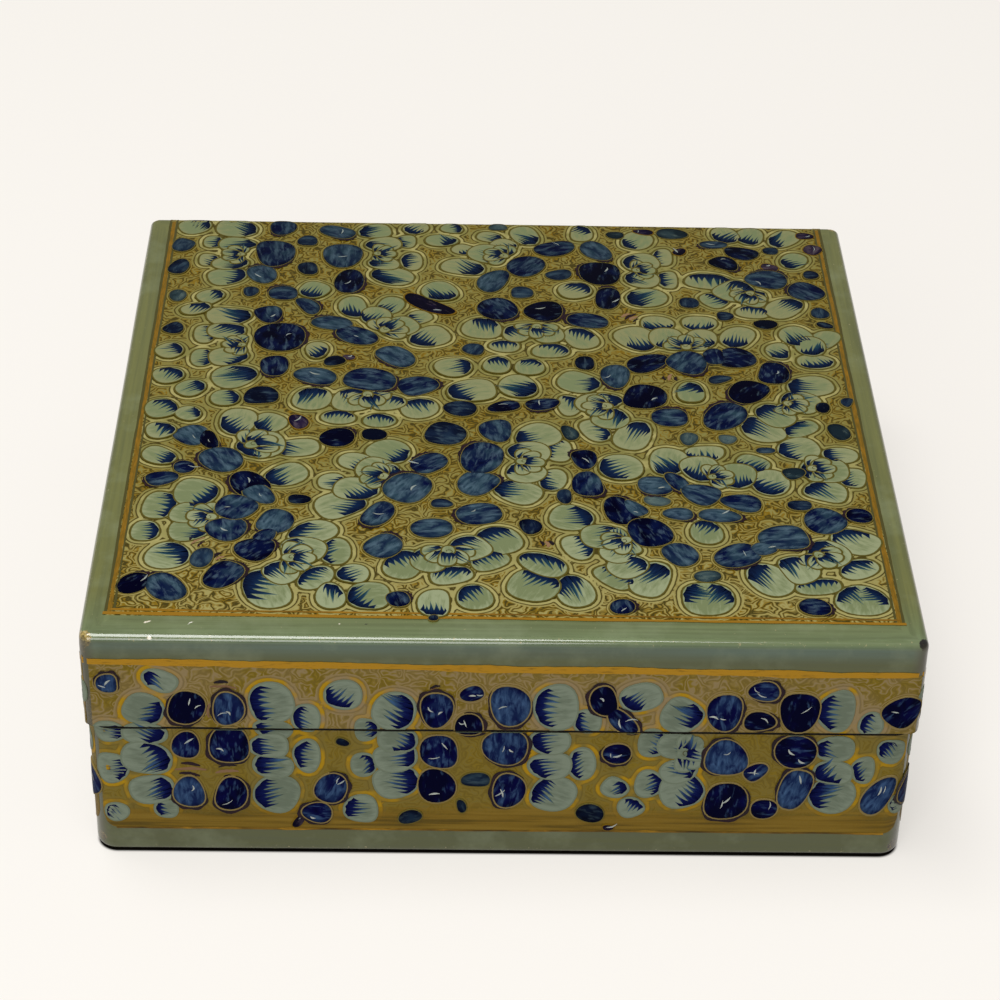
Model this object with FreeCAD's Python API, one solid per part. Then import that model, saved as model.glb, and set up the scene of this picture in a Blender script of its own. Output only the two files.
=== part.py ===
import FreeCAD, Part
import os

# Square box of moulded paper pulp with a lift-off lid, painted outside and lacquered inside.
# Millimetres. +Z is up, -Y is the front, and the origin lies on the surface that the box
# stands on, under the middle of the box.

# Overall form
box_width = 152.0
box_depth = 152.0
box_height = 51.0
seam_height = 30.2       # from the table to the base's rim, on which the lid rests
lid_overhang = 0.4       # the lid's walls stand out past the base's by this much

# Layers
underside_paper = 0.5    # black sheet glued under the base
skin = 0.6               # gesso and painted paper over the pulp
base_wall = 3.0
base_floor = 3.0
lid_top = 3.0
lining = 0.4             # lacquered paper inside

# Rounded edges
base_corner_radius = 4.5
base_foot_radius = 2.5
lid_corner_radius = 3.2
lid_ridge_radius = 1.8
cavity_radius = 2.5      # inside corners of the base, left by the mould
seam_easing = 0.3        # the painted edges on both sides of the seam are broken
paper_corner_radius = 3.0

# Collar of four card strips, glued inside the base, that the lid slips over
collar_thickness = 1.8
collar_depth = 12.0      # below the rim
collar_rise = 6.0        # above the rim
collar_lead = 0.9        # slope on the outer top edge that guides the lid on
collar_clearance = 0.3   # all round, between the collar and the lid's lining

# Small allowances
paper_margin = 1.2       # from the flat of the underside to the edge of its paper
cut_overrun = 5.0        # tools reach this far past what they cut


class Outline:
    """Plan of an upright rounded box: half width, half depth and corner radius."""

    def __init__(self, half_width, half_depth, radius):
        self.half_width = half_width
        self.half_depth = half_depth
        self.radius = radius

    def inset(self, distance):
        """The parallel outline that lies a distance inside this one."""
        return Outline(
            self.half_width - distance,
            self.half_depth - distance,
            self.radius - distance,
        )

    def block(self, low, high):
        """Upright solid on this outline, with round vertical edges."""
        corner = FreeCAD.Vector(-self.half_width, -self.half_depth, low)
        solid = Part.makeBox(2 * self.half_width, 2 * self.half_depth, high - low, corner)
        upright = [e for e in solid.Edges if is_upright(e)]
        return solid.makeFillet(self.radius, upright)


def is_upright(edge):
    """True for a straight edge along Z."""
    first, last = edge.Vertexes[0].Point, edge.Vertexes[-1].Point
    return abs(first.x - last.x) + abs(first.y - last.y) < abs(first.z - last.z)


def edges_at(solid, height):
    """The edges that lie wholly in the plane z = height."""
    tolerance = solid.BoundBox.ZLength / 10000
    box_of = [(e, e.BoundBox) for e in solid.Edges]
    return [
        e for e, b in box_of
        if abs(b.ZMin - height) < tolerance and abs(b.ZMax - height) < tolerance
    ]


def rounded_at(solid, height, radius):
    """The solid with the edges of its face at a height rounded."""
    return solid.makeFillet(radius, edges_at(solid, height))


# The chain of fits, from the outside in: the base's cavity holds the lining, the lining
# holds the collar, and the lid's cavity is as large as the collar, its clearance and a lining.
lid_outline = Outline(box_width / 2, box_depth / 2, lid_corner_radius)
base_outline = Outline(
    box_width / 2 - lid_overhang,
    box_depth / 2 - lid_overhang,
    base_corner_radius,
)
base_cavity_outline = Outline(
    base_outline.half_width - skin - base_wall,
    base_outline.half_depth - skin - base_wall,
    cavity_radius,
)
collar_outline = base_cavity_outline.inset(lining)
lid_lining_outline = collar_outline.inset(-collar_clearance)
lid_cavity_outline = lid_lining_outline.inset(-lining)

skin_bottom = underside_paper
pulp_bottom = skin_bottom + skin
cavity_floor = pulp_bottom + base_floor
lining_floor = cavity_floor + lining
pulp_top = box_height - skin
cavity_ceiling = pulp_top - lid_top
lining_ceiling = cavity_ceiling - lining


def base_form(outline, bottom, foot_radius):
    """Solid block of the base on an outline, its foot rounded, up to the rim."""
    return rounded_at(outline.block(bottom, seam_height), bottom, foot_radius)


def lid_form(outline, top, ridge_radius):
    """Solid block of the lid on an outline, its ridge rounded, down to the seam."""
    return rounded_at(outline.block(seam_height, top), top, ridge_radius)


def base_hollow(outline, floor):
    """Room inside the base: round at the floor's edges and open past the rim."""
    return rounded_at(outline.block(floor, seam_height + cut_overrun), floor, outline.radius)


def lid_hollow(outline, ceiling):
    """Room inside the lid: round at the ceiling's edges and open past the seam."""
    return rounded_at(outline.block(seam_height - cut_overrun, ceiling), ceiling, outline.radius)


def make_base_shell():
    """The moulded tray of pulp that carries everything else."""
    solid = base_form(base_outline.inset(skin), pulp_bottom, base_foot_radius - skin)
    return solid.cut(base_hollow(base_cavity_outline, cavity_floor))


def make_base_skin():
    """Painted skin round the base, under it too, with its edge broken at the seam."""
    solid = base_form(base_outline, skin_bottom, base_foot_radius)
    solid = solid.makeChamfer(seam_easing, edges_at(solid, seam_height))
    core = base_form(base_outline.inset(skin), pulp_bottom, base_foot_radius - skin)
    above = base_outline.inset(skin).block(seam_height - skin, seam_height + cut_overrun)
    return solid.cut(core.fuse(above))


def make_underside_paper():
    """Plain black sheet that the box stands on, inside the flat of the underside."""
    edge = base_foot_radius + paper_margin
    sheet = Outline(
        base_outline.half_width - edge,
        base_outline.half_depth - edge,
        paper_corner_radius,
    )
    return sheet.block(0, skin_bottom)


def make_base_lining():
    """Lacquered paper on the floor and walls, up to the rim."""
    room = base_hollow(base_cavity_outline, cavity_floor)
    inner = base_hollow(collar_outline, lining_floor)
    rim_side = Part.makeBox(
        box_width, box_depth, cut_overrun * 2,
        FreeCAD.Vector(-box_width / 2, -box_depth / 2, seam_height),
    )
    return room.cut(inner).cut(rim_side)


def make_collar_ring():
    """The whole collar before it is cut into strips, with its lead-in slope."""
    top = seam_height + collar_rise
    ring = collar_outline.block(seam_height - collar_depth, top)
    ring = ring.makeChamfer(collar_lead, edges_at(ring, top))
    inner_width = 2 * (collar_outline.half_width - collar_thickness)
    inner_depth = 2 * (collar_outline.half_depth - collar_thickness)
    height = collar_depth + collar_rise + 2 * cut_overrun
    corner = FreeCAD.Vector(
        -inner_width / 2,
        -inner_depth / 2,
        seam_height - collar_depth - cut_overrun,
    )
    return ring.cut(Part.makeBox(inner_width, inner_depth, height, corner))


def mitre_wedge(half_long, half_short):
    """Prism over the strip on the -Y side, its ends cut at 45 degrees through the corners."""
    outer_x = half_long + cut_overrun
    outer_y = -half_short - cut_overrun
    reach = collar_thickness + cut_overrun
    low = seam_height - collar_depth - cut_overrun
    points = [
        FreeCAD.Vector(-outer_x, outer_y, low),
        FreeCAD.Vector(outer_x, outer_y, low),
        FreeCAD.Vector(half_long - reach, -half_short + reach, low),
        FreeCAD.Vector(-half_long + reach, -half_short + reach, low),
    ]
    face = Part.Face(Part.makePolygon(points + points[:1]))
    return face.extrude(FreeCAD.Vector(0, 0, collar_depth + collar_rise + 2 * cut_overrun))


def make_collar_strips():
    """Four mitred strips by name, each running the length of its side."""
    ring = make_collar_ring()
    half_width, half_depth = collar_outline.half_width, collar_outline.half_depth
    strips = {}
    sides = [
        ("collar_front", 0, half_width, half_depth),
        ("collar_right", 90, half_depth, half_width),
        ("collar_back", 180, half_width, half_depth),
        ("collar_left", 270, half_depth, half_width),
    ]
    for name, turn, half_long, half_short in sides:
        wedge = mitre_wedge(half_long, half_short)
        wedge.rotate(FreeCAD.Vector(0, 0, 0), FreeCAD.Vector(0, 0, 1), turn)
        strips[name] = ring.common(wedge)
    return strips


def make_lid_shell():
    """The moulded pulp cap, its cavity sized from the collar."""
    solid = lid_form(lid_outline.inset(skin), pulp_top, lid_ridge_radius - skin)
    return solid.cut(lid_hollow(lid_cavity_outline, cavity_ceiling))


def make_lid_skin():
    """Painted skin over the lid, with its edge broken at the seam."""
    solid = lid_form(lid_outline, box_height, lid_ridge_radius)
    solid = solid.makeChamfer(seam_easing, edges_at(solid, seam_height))
    core = lid_form(lid_outline.inset(skin), pulp_top, lid_ridge_radius - skin)
    below = lid_outline.inset(skin).block(seam_height - cut_overrun, seam_height + skin)
    return solid.cut(core.fuse(below))


def make_lid_lining():
    """Lacquered paper on the lid's ceiling and walls, down to the seam."""
    room = lid_hollow(lid_cavity_outline, cavity_ceiling)
    inner = lid_hollow(lid_lining_outline, lining_ceiling)
    seam_side = Part.makeBox(
        box_width, box_depth, cut_overrun * 2,
        FreeCAD.Vector(-box_width / 2, -box_depth / 2, seam_height - cut_overrun * 2),
    )
    return room.cut(inner).cut(seam_side)


def single_solid(shape):
    """The one solid in a result, in place of the compound that a cut returns."""
    return shape.Solids[0]


parts = {
    "base_shell": make_base_shell(),
    "base_skin": make_base_skin(),
    "underside_paper": make_underside_paper(),
    "base_lining": make_base_lining(),
    **make_collar_strips(),
    "lid_shell": make_lid_shell(),
    "lid_skin": make_lid_skin(),
    "lid_lining": make_lid_lining(),
}

os.makedirs("parts", exist_ok=True)
for node, shape in parts.items():
    solid = single_solid(shape)
    solid.exportStep(f"parts/{node}.step")
    print(f"{node}: {len(shape.Solids)} solid, valid {solid.isValid()}, {solid.Volume / 1000:.2f} cm3")
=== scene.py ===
"""Painted paper pulp box with a lift-off lid, dressed around its CAD solids.

The box is moulded paper pulp under gesso, painted by hand and varnished. Lengths in the classes
are millimetres in the CAD's frame: +Z up, -Y the front. Every mesh is turned to metres when it
is made, and every finished object sits at the origin with its place in its mesh.
"""

from __future__ import annotations

import logging
import math
from collections.abc import Callable
from dataclasses import dataclass, field, replace
from enum import Enum

import bmesh
import bpy
import numpy as np
from bpy.types import Material, Mesh, NodeSocket, Object
from mathutils import Matrix, Vector

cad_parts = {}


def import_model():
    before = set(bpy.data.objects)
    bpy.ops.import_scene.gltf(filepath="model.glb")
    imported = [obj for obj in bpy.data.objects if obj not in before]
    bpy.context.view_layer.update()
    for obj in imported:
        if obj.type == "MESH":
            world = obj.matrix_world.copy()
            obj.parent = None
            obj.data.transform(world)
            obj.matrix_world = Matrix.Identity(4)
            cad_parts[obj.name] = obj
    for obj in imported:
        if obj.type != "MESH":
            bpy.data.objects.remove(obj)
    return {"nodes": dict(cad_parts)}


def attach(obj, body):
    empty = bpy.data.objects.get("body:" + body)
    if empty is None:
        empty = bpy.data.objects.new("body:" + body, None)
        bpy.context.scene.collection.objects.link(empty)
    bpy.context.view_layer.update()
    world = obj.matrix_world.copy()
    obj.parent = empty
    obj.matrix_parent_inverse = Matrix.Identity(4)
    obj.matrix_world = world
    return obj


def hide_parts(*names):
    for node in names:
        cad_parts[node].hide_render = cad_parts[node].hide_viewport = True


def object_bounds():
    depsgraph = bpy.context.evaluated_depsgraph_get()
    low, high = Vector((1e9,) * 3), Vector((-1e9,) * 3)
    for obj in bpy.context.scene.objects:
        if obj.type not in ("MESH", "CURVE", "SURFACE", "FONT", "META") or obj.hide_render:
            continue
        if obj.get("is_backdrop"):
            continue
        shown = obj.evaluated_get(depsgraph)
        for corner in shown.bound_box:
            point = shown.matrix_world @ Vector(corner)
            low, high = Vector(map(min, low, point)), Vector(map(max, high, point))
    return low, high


LOG = logging.getLogger("painted_box")
Array = np.ndarray
Pair = tuple[float, float]
Triple = tuple[float, float, float]

MM = 0.001
SMOOTH_ANGLE = math.radians(40)


class Paint(Enum):
    """Which paint a petal is laid in, by its letter in the lists of strokes."""

    PALE = "S"  # pale sage with a blue comb at its root
    TWIN = "T"  # pale sage with two blue combs
    HEART = "H"  # small pale petal at a flower's heart
    INNER = "F"  # pale petal of the ring round a heart
    BLUE = "B"  # navy oval with a cream ring
    DARK = "D"  # small flat navy leaf
    GREY = "G"  # small grey-teal leaf
    MAROON = "M"  # small dark brown leaf
    HATCH = "X"  # ragged dark strokes between the petals


PALE_PETALS = (Paint.PALE, Paint.TWIN, Paint.HEART, Paint.INNER)
DARK_PETALS = (Paint.BLUE, Paint.DARK, Paint.GREY, Paint.MAROON)
LEVELS = ("X", "ST", "F", "H", "MG", "D", "B")  # a flower's paints, the lowest first
LEVEL = {Paint(letter): level for level, letters in enumerate(LEVELS) for letter in letters}
GROWTH = {Paint.PALE: 1.07, Paint.TWIN: 1.04, Paint.HEART: 0.68}  # pale petals press together

# A stroke of the brush: paint, place across and up its face, length, width (all mm), and the
# way its length points, in degrees from the across direction. A pale petal points from its blue
# comb to its pale tip.
Stroke = tuple[Paint, float, float, float, float, float]
Bunch = tuple[Stroke, ...]


def bunches(text: str) -> tuple[Bunch, ...]:
    """Read bunches of strokes.

    Args:
        text: strokes parted by semicolons, in bunches parted by empty lines.

    Returns:
        The bunches in their order.
    """
    rows = [[stroke.split() for stroke in bunch.split(";")] for bunch in text.split("\n\n")]
    return tuple(
        tuple((Paint(letter), *map(float, numbers)) for letter, *numbers in bunch) for bunch in rows
    )


# The top's flowers from the back left to the front, then its dark leaves and its pale ones.
TOP_BUNCHES = bunches("""\
S -56.5 71.2 9 7.5 170; S -56 64.2 8.2 5.6 180; S -57 56 8 5.4 185; S -57.3 50.4 8.6 6.6 200;
H -55 59.8 3.6 2.8 170; S -61.2 65.1 4.4 5.2 180; S -61.7 57.3 4.4 5.2 180; B -46.5 71.5 6.5 6 90;
B -47.6 60.3 11.5 8.4 95; B -49.9 51.4 8 6.5 110

B -34.6 70 8.4 5.2 -25; B -33.1 59.6 10.5 8.6 90; B -31.4 49 10.2 6.6 85; S -26.5 70.8 7.5 5.8 10;
S -24.5 65 8 6 15; H -25.6 61 3.4 3 0; S -24.3 56.8 7 5.2 -10; S -22.3 51.5 9.5 7 -20;
S -19.6 66.5 4.5 5.5 0; S -18.3 58 5 7.6 0

S 6.4 69.4 8.4 6 110; S 1.6 65 6 5.6 140; S -1.8 61.4 8.6 7.6 150; H 1.6 60.6 4 3.4 150;
S -7 55.8 9.6 6.6 165; S -1.2 68.8 6.2 4.4 160; S -7.2 63.2 5 4.4 150; B 12.6 63.8 9.2 6.6 20;
B 6.2 56 9.4 8 55; B -0.9 49.9 10.2 6.4 65; D 13.3 52.6 6 4.6 20

B 21.6 63 9.4 6.2 -60; B 22 53.4 10 8.8 90; B 23.4 43.3 9.2 5.6 85; S 30.8 68 8 6.6 70;
S 31 58.6 8 7.4 20; H 30 55.2 3.6 3.2 0; S 31 51.6 7.6 7 -20; S 31.4 43.8 9 7.4 10;
S 35.8 61 4.6 7.4 0; S 36.4 51.4 4.4 7.6 0

B 47.3 66.7 6.6 3.6 0; B 53 63.2 8 5.4 -20; S 50.2 71 7.4 6 110; S 55.6 70.6 7.6 6 80;
S 62.8 69.8 8.6 6 45; D 59.6 64.4 3.9 3.2 0; S 64.2 60.2 7 5.6 60

B 49.2 58.6 7.4 5.2 -40; B 57.6 52 9.6 7.6 -15; B 65.6 46.9 8.4 7.4 -40; S 45.4 51 6.6 10.4 -100;
S 50.6 47 8.6 8 225; H 53.6 46.1 3.8 3.2 230; S 54.2 44.2 7 6 250; S 60.4 40.4 10 6.6 225;
S 45.8 43.2 5.4 6.4 225; S 53.6 38.6 5.2 7.2 -95; M 58.8 57.2 4.4 2.8 -20

B -0.1 38.3 9.4 8.6 120; B 9.5 37.4 8.6 8 0; B 18.9 34 9.2 6 -10; S -3.4 30.6 8 8.2 -100;
H 8 31.4 4 3.6 -90; S 3.8 28.8 6.6 5.8 -95; S 10.4 28.6 7 6.4 -80; S 17 27.2 9 6.4 -65;
S 1.2 23.8 5 6.4 -90; S 10.7 22.2 5.4 8 -88

S -56 34 9.4 7 175; S -56 28.2 8 6 180; H -52.6 22.8 3.4 2.8 180; S -55 18.4 8.2 6.6 195;
S -53.3 11 9.6 8 205; S -60.4 27 4.6 7.2 180; S -60.2 17.8 5 6.8 180; B -47.6 35 7 6 110;
B -45 26 11.5 10.6 90; B -45.4 14.8 8 6 95

S -30.4 38.4 8.6 6 100; S -22.4 39.2 7.4 5.4 70; S -25.4 35 7 6.4 80; H -23.4 29.4 4.4 3.8 50;
S -20.4 30.6 8.5 7 40; S -14.2 26.8 9 7.2 30; S -16.6 34.6 6 5 40; B -34.4 31.8 9 5.8 -10;
B -29.2 26.8 9.6 6.8 -35; B -21 19 9.4 6.8 -45

S 28.6 27.2 9.6 8 120; S 34.6 27.4 8 7 88; S 42 27.4 7.6 6.4 85; S 49.4 28.2 9 6.6 60;
H 38.6 24.2 4.2 3.6 90; S 33.2 33.4 5.8 7 90; S 42 33.6 5.8 7.6 90; B 30.4 17.6 9.6 6.4 30;
B 38.6 18 8.6 8.6 60; B 44 20.4 6.4 5 90; B 48.6 19.8 9 7.8 -20

S 61.8 28.8 8.4 6.6 120; S 67.4 27.6 8.4 5.6 60; S 64.2 25 7.6 6.4 90; S 64.8 19 5.4 8 85;
S 57.4 23 6.6 5 95

B -37 11.2 9.6 6.2 -20; B -26 10 11 8.6 -12; B -16.3 8 8.4 7.2 25; S -37.4 2.8 8.2 7.6 -100;
S -29.2 2.4 8 8.4 -90; S -22.2 1.8 5.6 7.2 -80; H -26.4 4.4 4.2 3.6 -90; S -16 -0.2 7.2 7.6 -75;
S -32 -3.8 5 7 -90; S -23.8 -4.8 5 6.6 -90

B 23.4 12.4 9 6.4 85; B 29.2 5 9.6 8.6 80; B 33.6 -2.7 7.6 6.8 0; S 16 10 8.6 7.4 150;
S 19.6 3 9.6 6.6 200; H 21.2 1.4 4.4 4 180; S 22 -3.2 7.6 6.8 225; S 26 -9 10.6 7 250;
S 14 1.6 5.2 7.6 180; S 18.6 -7.4 5.2 8.4 205

B 55.9 14.2 8.2 6.8 80; B 49.9 7 9.4 7.6 60; B 44.6 -2 11.4 8 60; S 62.6 9.6 9.6 7.4 15;
S 60.2 3.6 8.4 7.4 -25; H 57.6 3 3.6 3.2 -40; S 54.6 -1.4 8.6 7 -50; S 51.4 -6.6 10 7.4 -50;
S 59.2 -6 5.2 7.8 -60

B -60 -11 7.4 7.2 -50; B -57 -12.6 7 4 -70; B -54 -19.3 9 8.6 -60; B -48.2 -27.4 9.4 7 -60;
S -51.6 -5.8 9.6 7 80; S -45.4 -6.2 7 6.6 60; S -46.4 -14.2 9.4 8.4 30; H -48.4 -14 5 4.2 30;
S -39.4 -14.8 8.4 6 10; S -41.2 -24.2 9 6.8 40

S -21.6 -15.6 8.6 7.4 150; S -27.8 -19.4 7.6 5.6 160; S -23.6 -22.4 9.4 7.4 150;
H -22.6 -24.4 4.2 3.6 150; S -27.6 -28.6 8.6 7.4 170; S -30.6 -33.8 9.6 8 210;
S -32.4 -26.2 5.4 5.4 185; B -14 -19.8 8.2 6.2 40; B -18 -28.2 10.4 9 60; B -23.3 -37 9 5.6 60

B -0.9 -8.2 8.4 6.6 -80; B -3.8 -17.6 11 8.8 80; B -4.8 -26.4 9 7.4 60; S 7.2 -9.6 9.4 8 30;
S 5.4 -15.6 8.4 7.4 5; H 4 -18.8 4 3.6 0; S 4.6 -22.6 7.8 6.6 -20; S 3 -29 9.2 7.4 -30;
S 11.2 -14.8 5.2 7.8 0; S 9.8 -24.8 5.4 7.6 -15

S 32.4 -18.2 9.4 7.4 80; S 39.6 -15.2 5.4 7.6 95; S 38.4 -20.6 8.6 7.4 100; H 40.6 -23.3 3.6 2.8 20;
S 45.2 -22.8 8.4 7.4 80; S 48.8 -18.4 5.2 7 55; S 51.6 -25 8.6 7.4 80; B 29.4 -26.6 7 6.6 0;
B 33.6 -25.2 7 4 -60; B 37.8 -29.4 8 7 -30; B 45.4 -32 8.4 5.8 -10; G 29.4 -31.8 5.6 3.6 -10;
B 33.1 -36 6 4.4 0; B 41 -36.4 8.6 4.6 -8

S 58.2 -13.2 8.4 7.6 20; S 66 -15.2 7.2 5.4 -10; S 62.4 -20.4 9.4 8.2 0; H 60.2 -20 4 3.4 0;
S 67.6 -23 5.2 6.6 -10; S 62 -27.6 8.6 6.6 -20; G 56.4 -21.8 4.8 4 20

S -64.4 -34.8 6.4 8.8 170; S -58 -30.6 8.2 9 165; S -58.6 -37.4 7.4 6.6 170;
S -58.4 -42.6 7.8 7 190; H -54.6 -38.6 4.2 3.6 175; S -61.6 -51 8 8.4 155;
S -66.4 -43.2 5.4 6.4 180; B -50.2 -35.4 8 8.2 60; B -51.4 -42.6 8.2 7.6 100; B -46 -31 8 5.4 -50

B -42.4 -39.8 8.2 7 70; B -44.2 -44.6 6 4 60; B -45.8 -48.6 7.8 7.4 45; B -51.2 -57 9 6.6 60;
S -35.6 -43 9.6 7 30; S -36.8 -48 8.6 6.6 -20; H -39.4 -51.2 4.6 4.2 0; S -40.6 -55.6 7 6.6 -50;
S -43.2 -60.8 12 8.2 -70; S -31 -49 5.8 8.4 0; S -34.4 -57.2 5.6 8.2 -40

B -4.5 -36.6 8.8 7.4 15; B -13.4 -41.4 8.4 6.4 5; B -22.2 -47.4 7.8 7.2 45; S -0.8 -45 8.8 8.2 -70;
S -6.4 -47.6 7.6 7.6 -60; H -10.2 -48.4 4.6 4.2 -90; S -13.6 -51 8.2 7 -100;
S -18.4 -52.8 9.4 6.8 -110; S -2.6 -51.4 5.6 7.6 -60; S -9.6 -56 5.4 8.2 -75

B 22.4 -35 9.6 7 -70; B 24.8 -34.4 6 4.4 -50; B 27.4 -42 9.6 8.4 -70; B 32.8 -49 7.8 6.6 -60;
S 13 -37.6 8.6 7.8 160; S 18.4 -43.4 7.8 7.4 180; S 21.4 -48.6 7 6.4 200; H 22.8 -44.6 4.2 3.6 210;
S 22.8 -52.8 7.8 6.6 220; S 26.8 -56.6 11.2 6.8 -110; S 13.9 -47 5.6 8 200; S 20.2 -56.2 5.6 8.4 225

B 60.6 -37.8 8.6 8.4 45; B 52.4 -43.2 9.8 8 10; B 48.4 -46.8 5 4.6 30; B 43.4 -49.2 9.6 7.2 30;
S 65.6 -44.2 9.4 7.4 -30; S 60.2 -48.2 8.4 8 -60; H 58.4 -48.6 4 3.4 -60; S 54.4 -53 8.4 7 -65;
S 65.4 -52.8 5.8 7.8 -60; S 57.4 -58.4 5 8.6 -80; S 48.6 -56.4 10.8 7.4 -60

B -67.2 -59.6 7.6 5.6 50; B -61.2 -60.6 9.2 7 -60

D -67.6 63.2 6 4.8 70; D -67.8 54 6.8 4.4 70; D -66.9 28.9 4.8 4.4 60; D -47.5 3.6 7 6.8 0;
D -55.4 -51.8 7 4.2 80; D -51.9 43.9 4.2 3.6 90; D -40.9 65.9 4.6 4.6 0; D -40.4 54 5.6 4.4 100;
B -45 43.6 6.4 6 0; B -39.6 38.6 7.6 4.4 -55; G -67.2 42 5.3 3.8 90; D -33.5 16.8 5 3.8 20;
M -30.6 18.2 3 2.4 0; M -39.7 -5.8 6 3.8 -65; B -32 -11.4 7.2 6.8 0; D -24.8 -10.2 5.2 4.4 0;
D -10.7 -9.6 8.6 8 -20; D -8 -0.4 7 5.8 -10; B 0.8 0.6 7.4 4 15; B 8.6 1.6 7.4 4.4 15;
D -5.1 22.1 4.8 4.6 70; D 17.4 17.2 5.6 4.2 90; D 5.2 45 5 5 0; M -14.5 39.4 13.4 4.6 -36;
G 0.5 73 4.5 3.2 0; G 26 70.2 4.2 3.4 0; G 38.6 71.2 7.6 4.6 0; M 32.3 71.9 5 2.6 -10;
M 39.8 63.4 3.6 2.8 60; M 68.8 65 4.6 4.2 60; M 67.8 71.1 4.2 3 0; D 67.4 54 3.8 3.6 0;
D 40.4 41.6 4.6 4.4 90; D 47.6 36.4 3.8 3.8 0; D 55.7 33.2 5.4 4 0; D 67.7 38 4.6 4.2 90;
D 68.2 33.2 4 2.6 -20; X 27.8 35.8 3.4 2.8 45; X 34.4 12 2.8 2.4 90; D 44.6 11.6 5.4 3.2 20;
G 36.8 -10.4 5 3.8 80; G 44.5 -10.4 4 3.4 0; D 51.6 -14.2 4.2 2.4 0; D 64.4 1.4 4.4 3 80;
D 69.4 3.6 3.8 2.6 70; G 66.8 -7.2 6.6 4.2 110; G 13.6 -8.6 6 3.4 -70; B 16.2 -18 7.2 5 100;
B 16.4 -26.4 8.6 6.2 95; D 11.8 -30.8 5.2 3.2 95; D -11.4 -33.4 4.6 3.2 0; D -38.3 -32.6 4.6 3.4 0;
D 5.2 -40.8 5.4 4.4 -80; X 8.2 -45.8 2.6 1.6 -70; X -56.7 -46 3.2 2.6 40; X -52 -51.3 3 2.2 40;
B -60.8 -22.2 4.6 4.4 0; B -64.8 -26 6.4 5 20; D 56.4 -32.8 5 3.6 0; B 67.4 -36 5.2 5 0;
G 37.2 -55.8 5.2 4 5; B 56 -64.8 6 5.4 0; B 21.2 -65.4 4.8 4.8 -90; B -19.2 -63.8 5 4.4 110;
D -12.8 -69.3 2 2 90

S -65.6 71.9 7.2 6.4 205; S -60.3 42 6 5.2 225; S -62.9 36.8 6.8 4.4 205; S -38.7 45 6.6 6.2 60;
S -67 20.2 6 5.6 220; S -66.5 10.8 6.2 6 200; S -61.7 6.2 6.4 5.6 230; S -54.6 2.6 6 5.6 180;
S -37.1 20.9 6.4 4.8 95; S -67 -1.4 6.6 6.6 200; S -61.4 -3.2 5 5.4 230; S -66.4 -9.4 6 5.6 185;
S -66 -18.4 7.2 5.4 150; S -9.2 15 7.4 7.2 200; S -0.4 16.2 6.4 5.6 -100; S 6.2 15.6 6.2 6 -88;
S -5.6 6.4 10 7.6 10; S 3.8 8 8.6 7.4 130; S -12.2 45 8 7.4 130; S -11.8 67 7.4 5 175;
S -9.5 72.5 5 4.4 150; S -17.5 72.2 6 5 30; S 16.5 46.2 7 6.6 200; S 18.8 71 7 5 -90;
S 38.4 6.8 7.4 5.6 -90; S 38 -41.6 7.6 6.2 -88; S 23 -20.6 8.6 8.4 0; S 7.2 -52.6 6.4 9.8 235;
S 5.4 -59.2 9 9.4 -115; S 12.8 -60.6 9.6 7 -75; S -5.4 -62.8 7.6 6.6 -85; S -12.8 -64.8 8.2 5.8 90;
S -24.6 -62.8 7.6 8 0; S -31.4 -62.8 8 5.4 -80; S -27.6 -56 6.2 5.6 -10; T 64.9 -62.4 9.4 9.8 -95;
T 37 -62.4 9.8 9.6 -90""")

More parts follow.
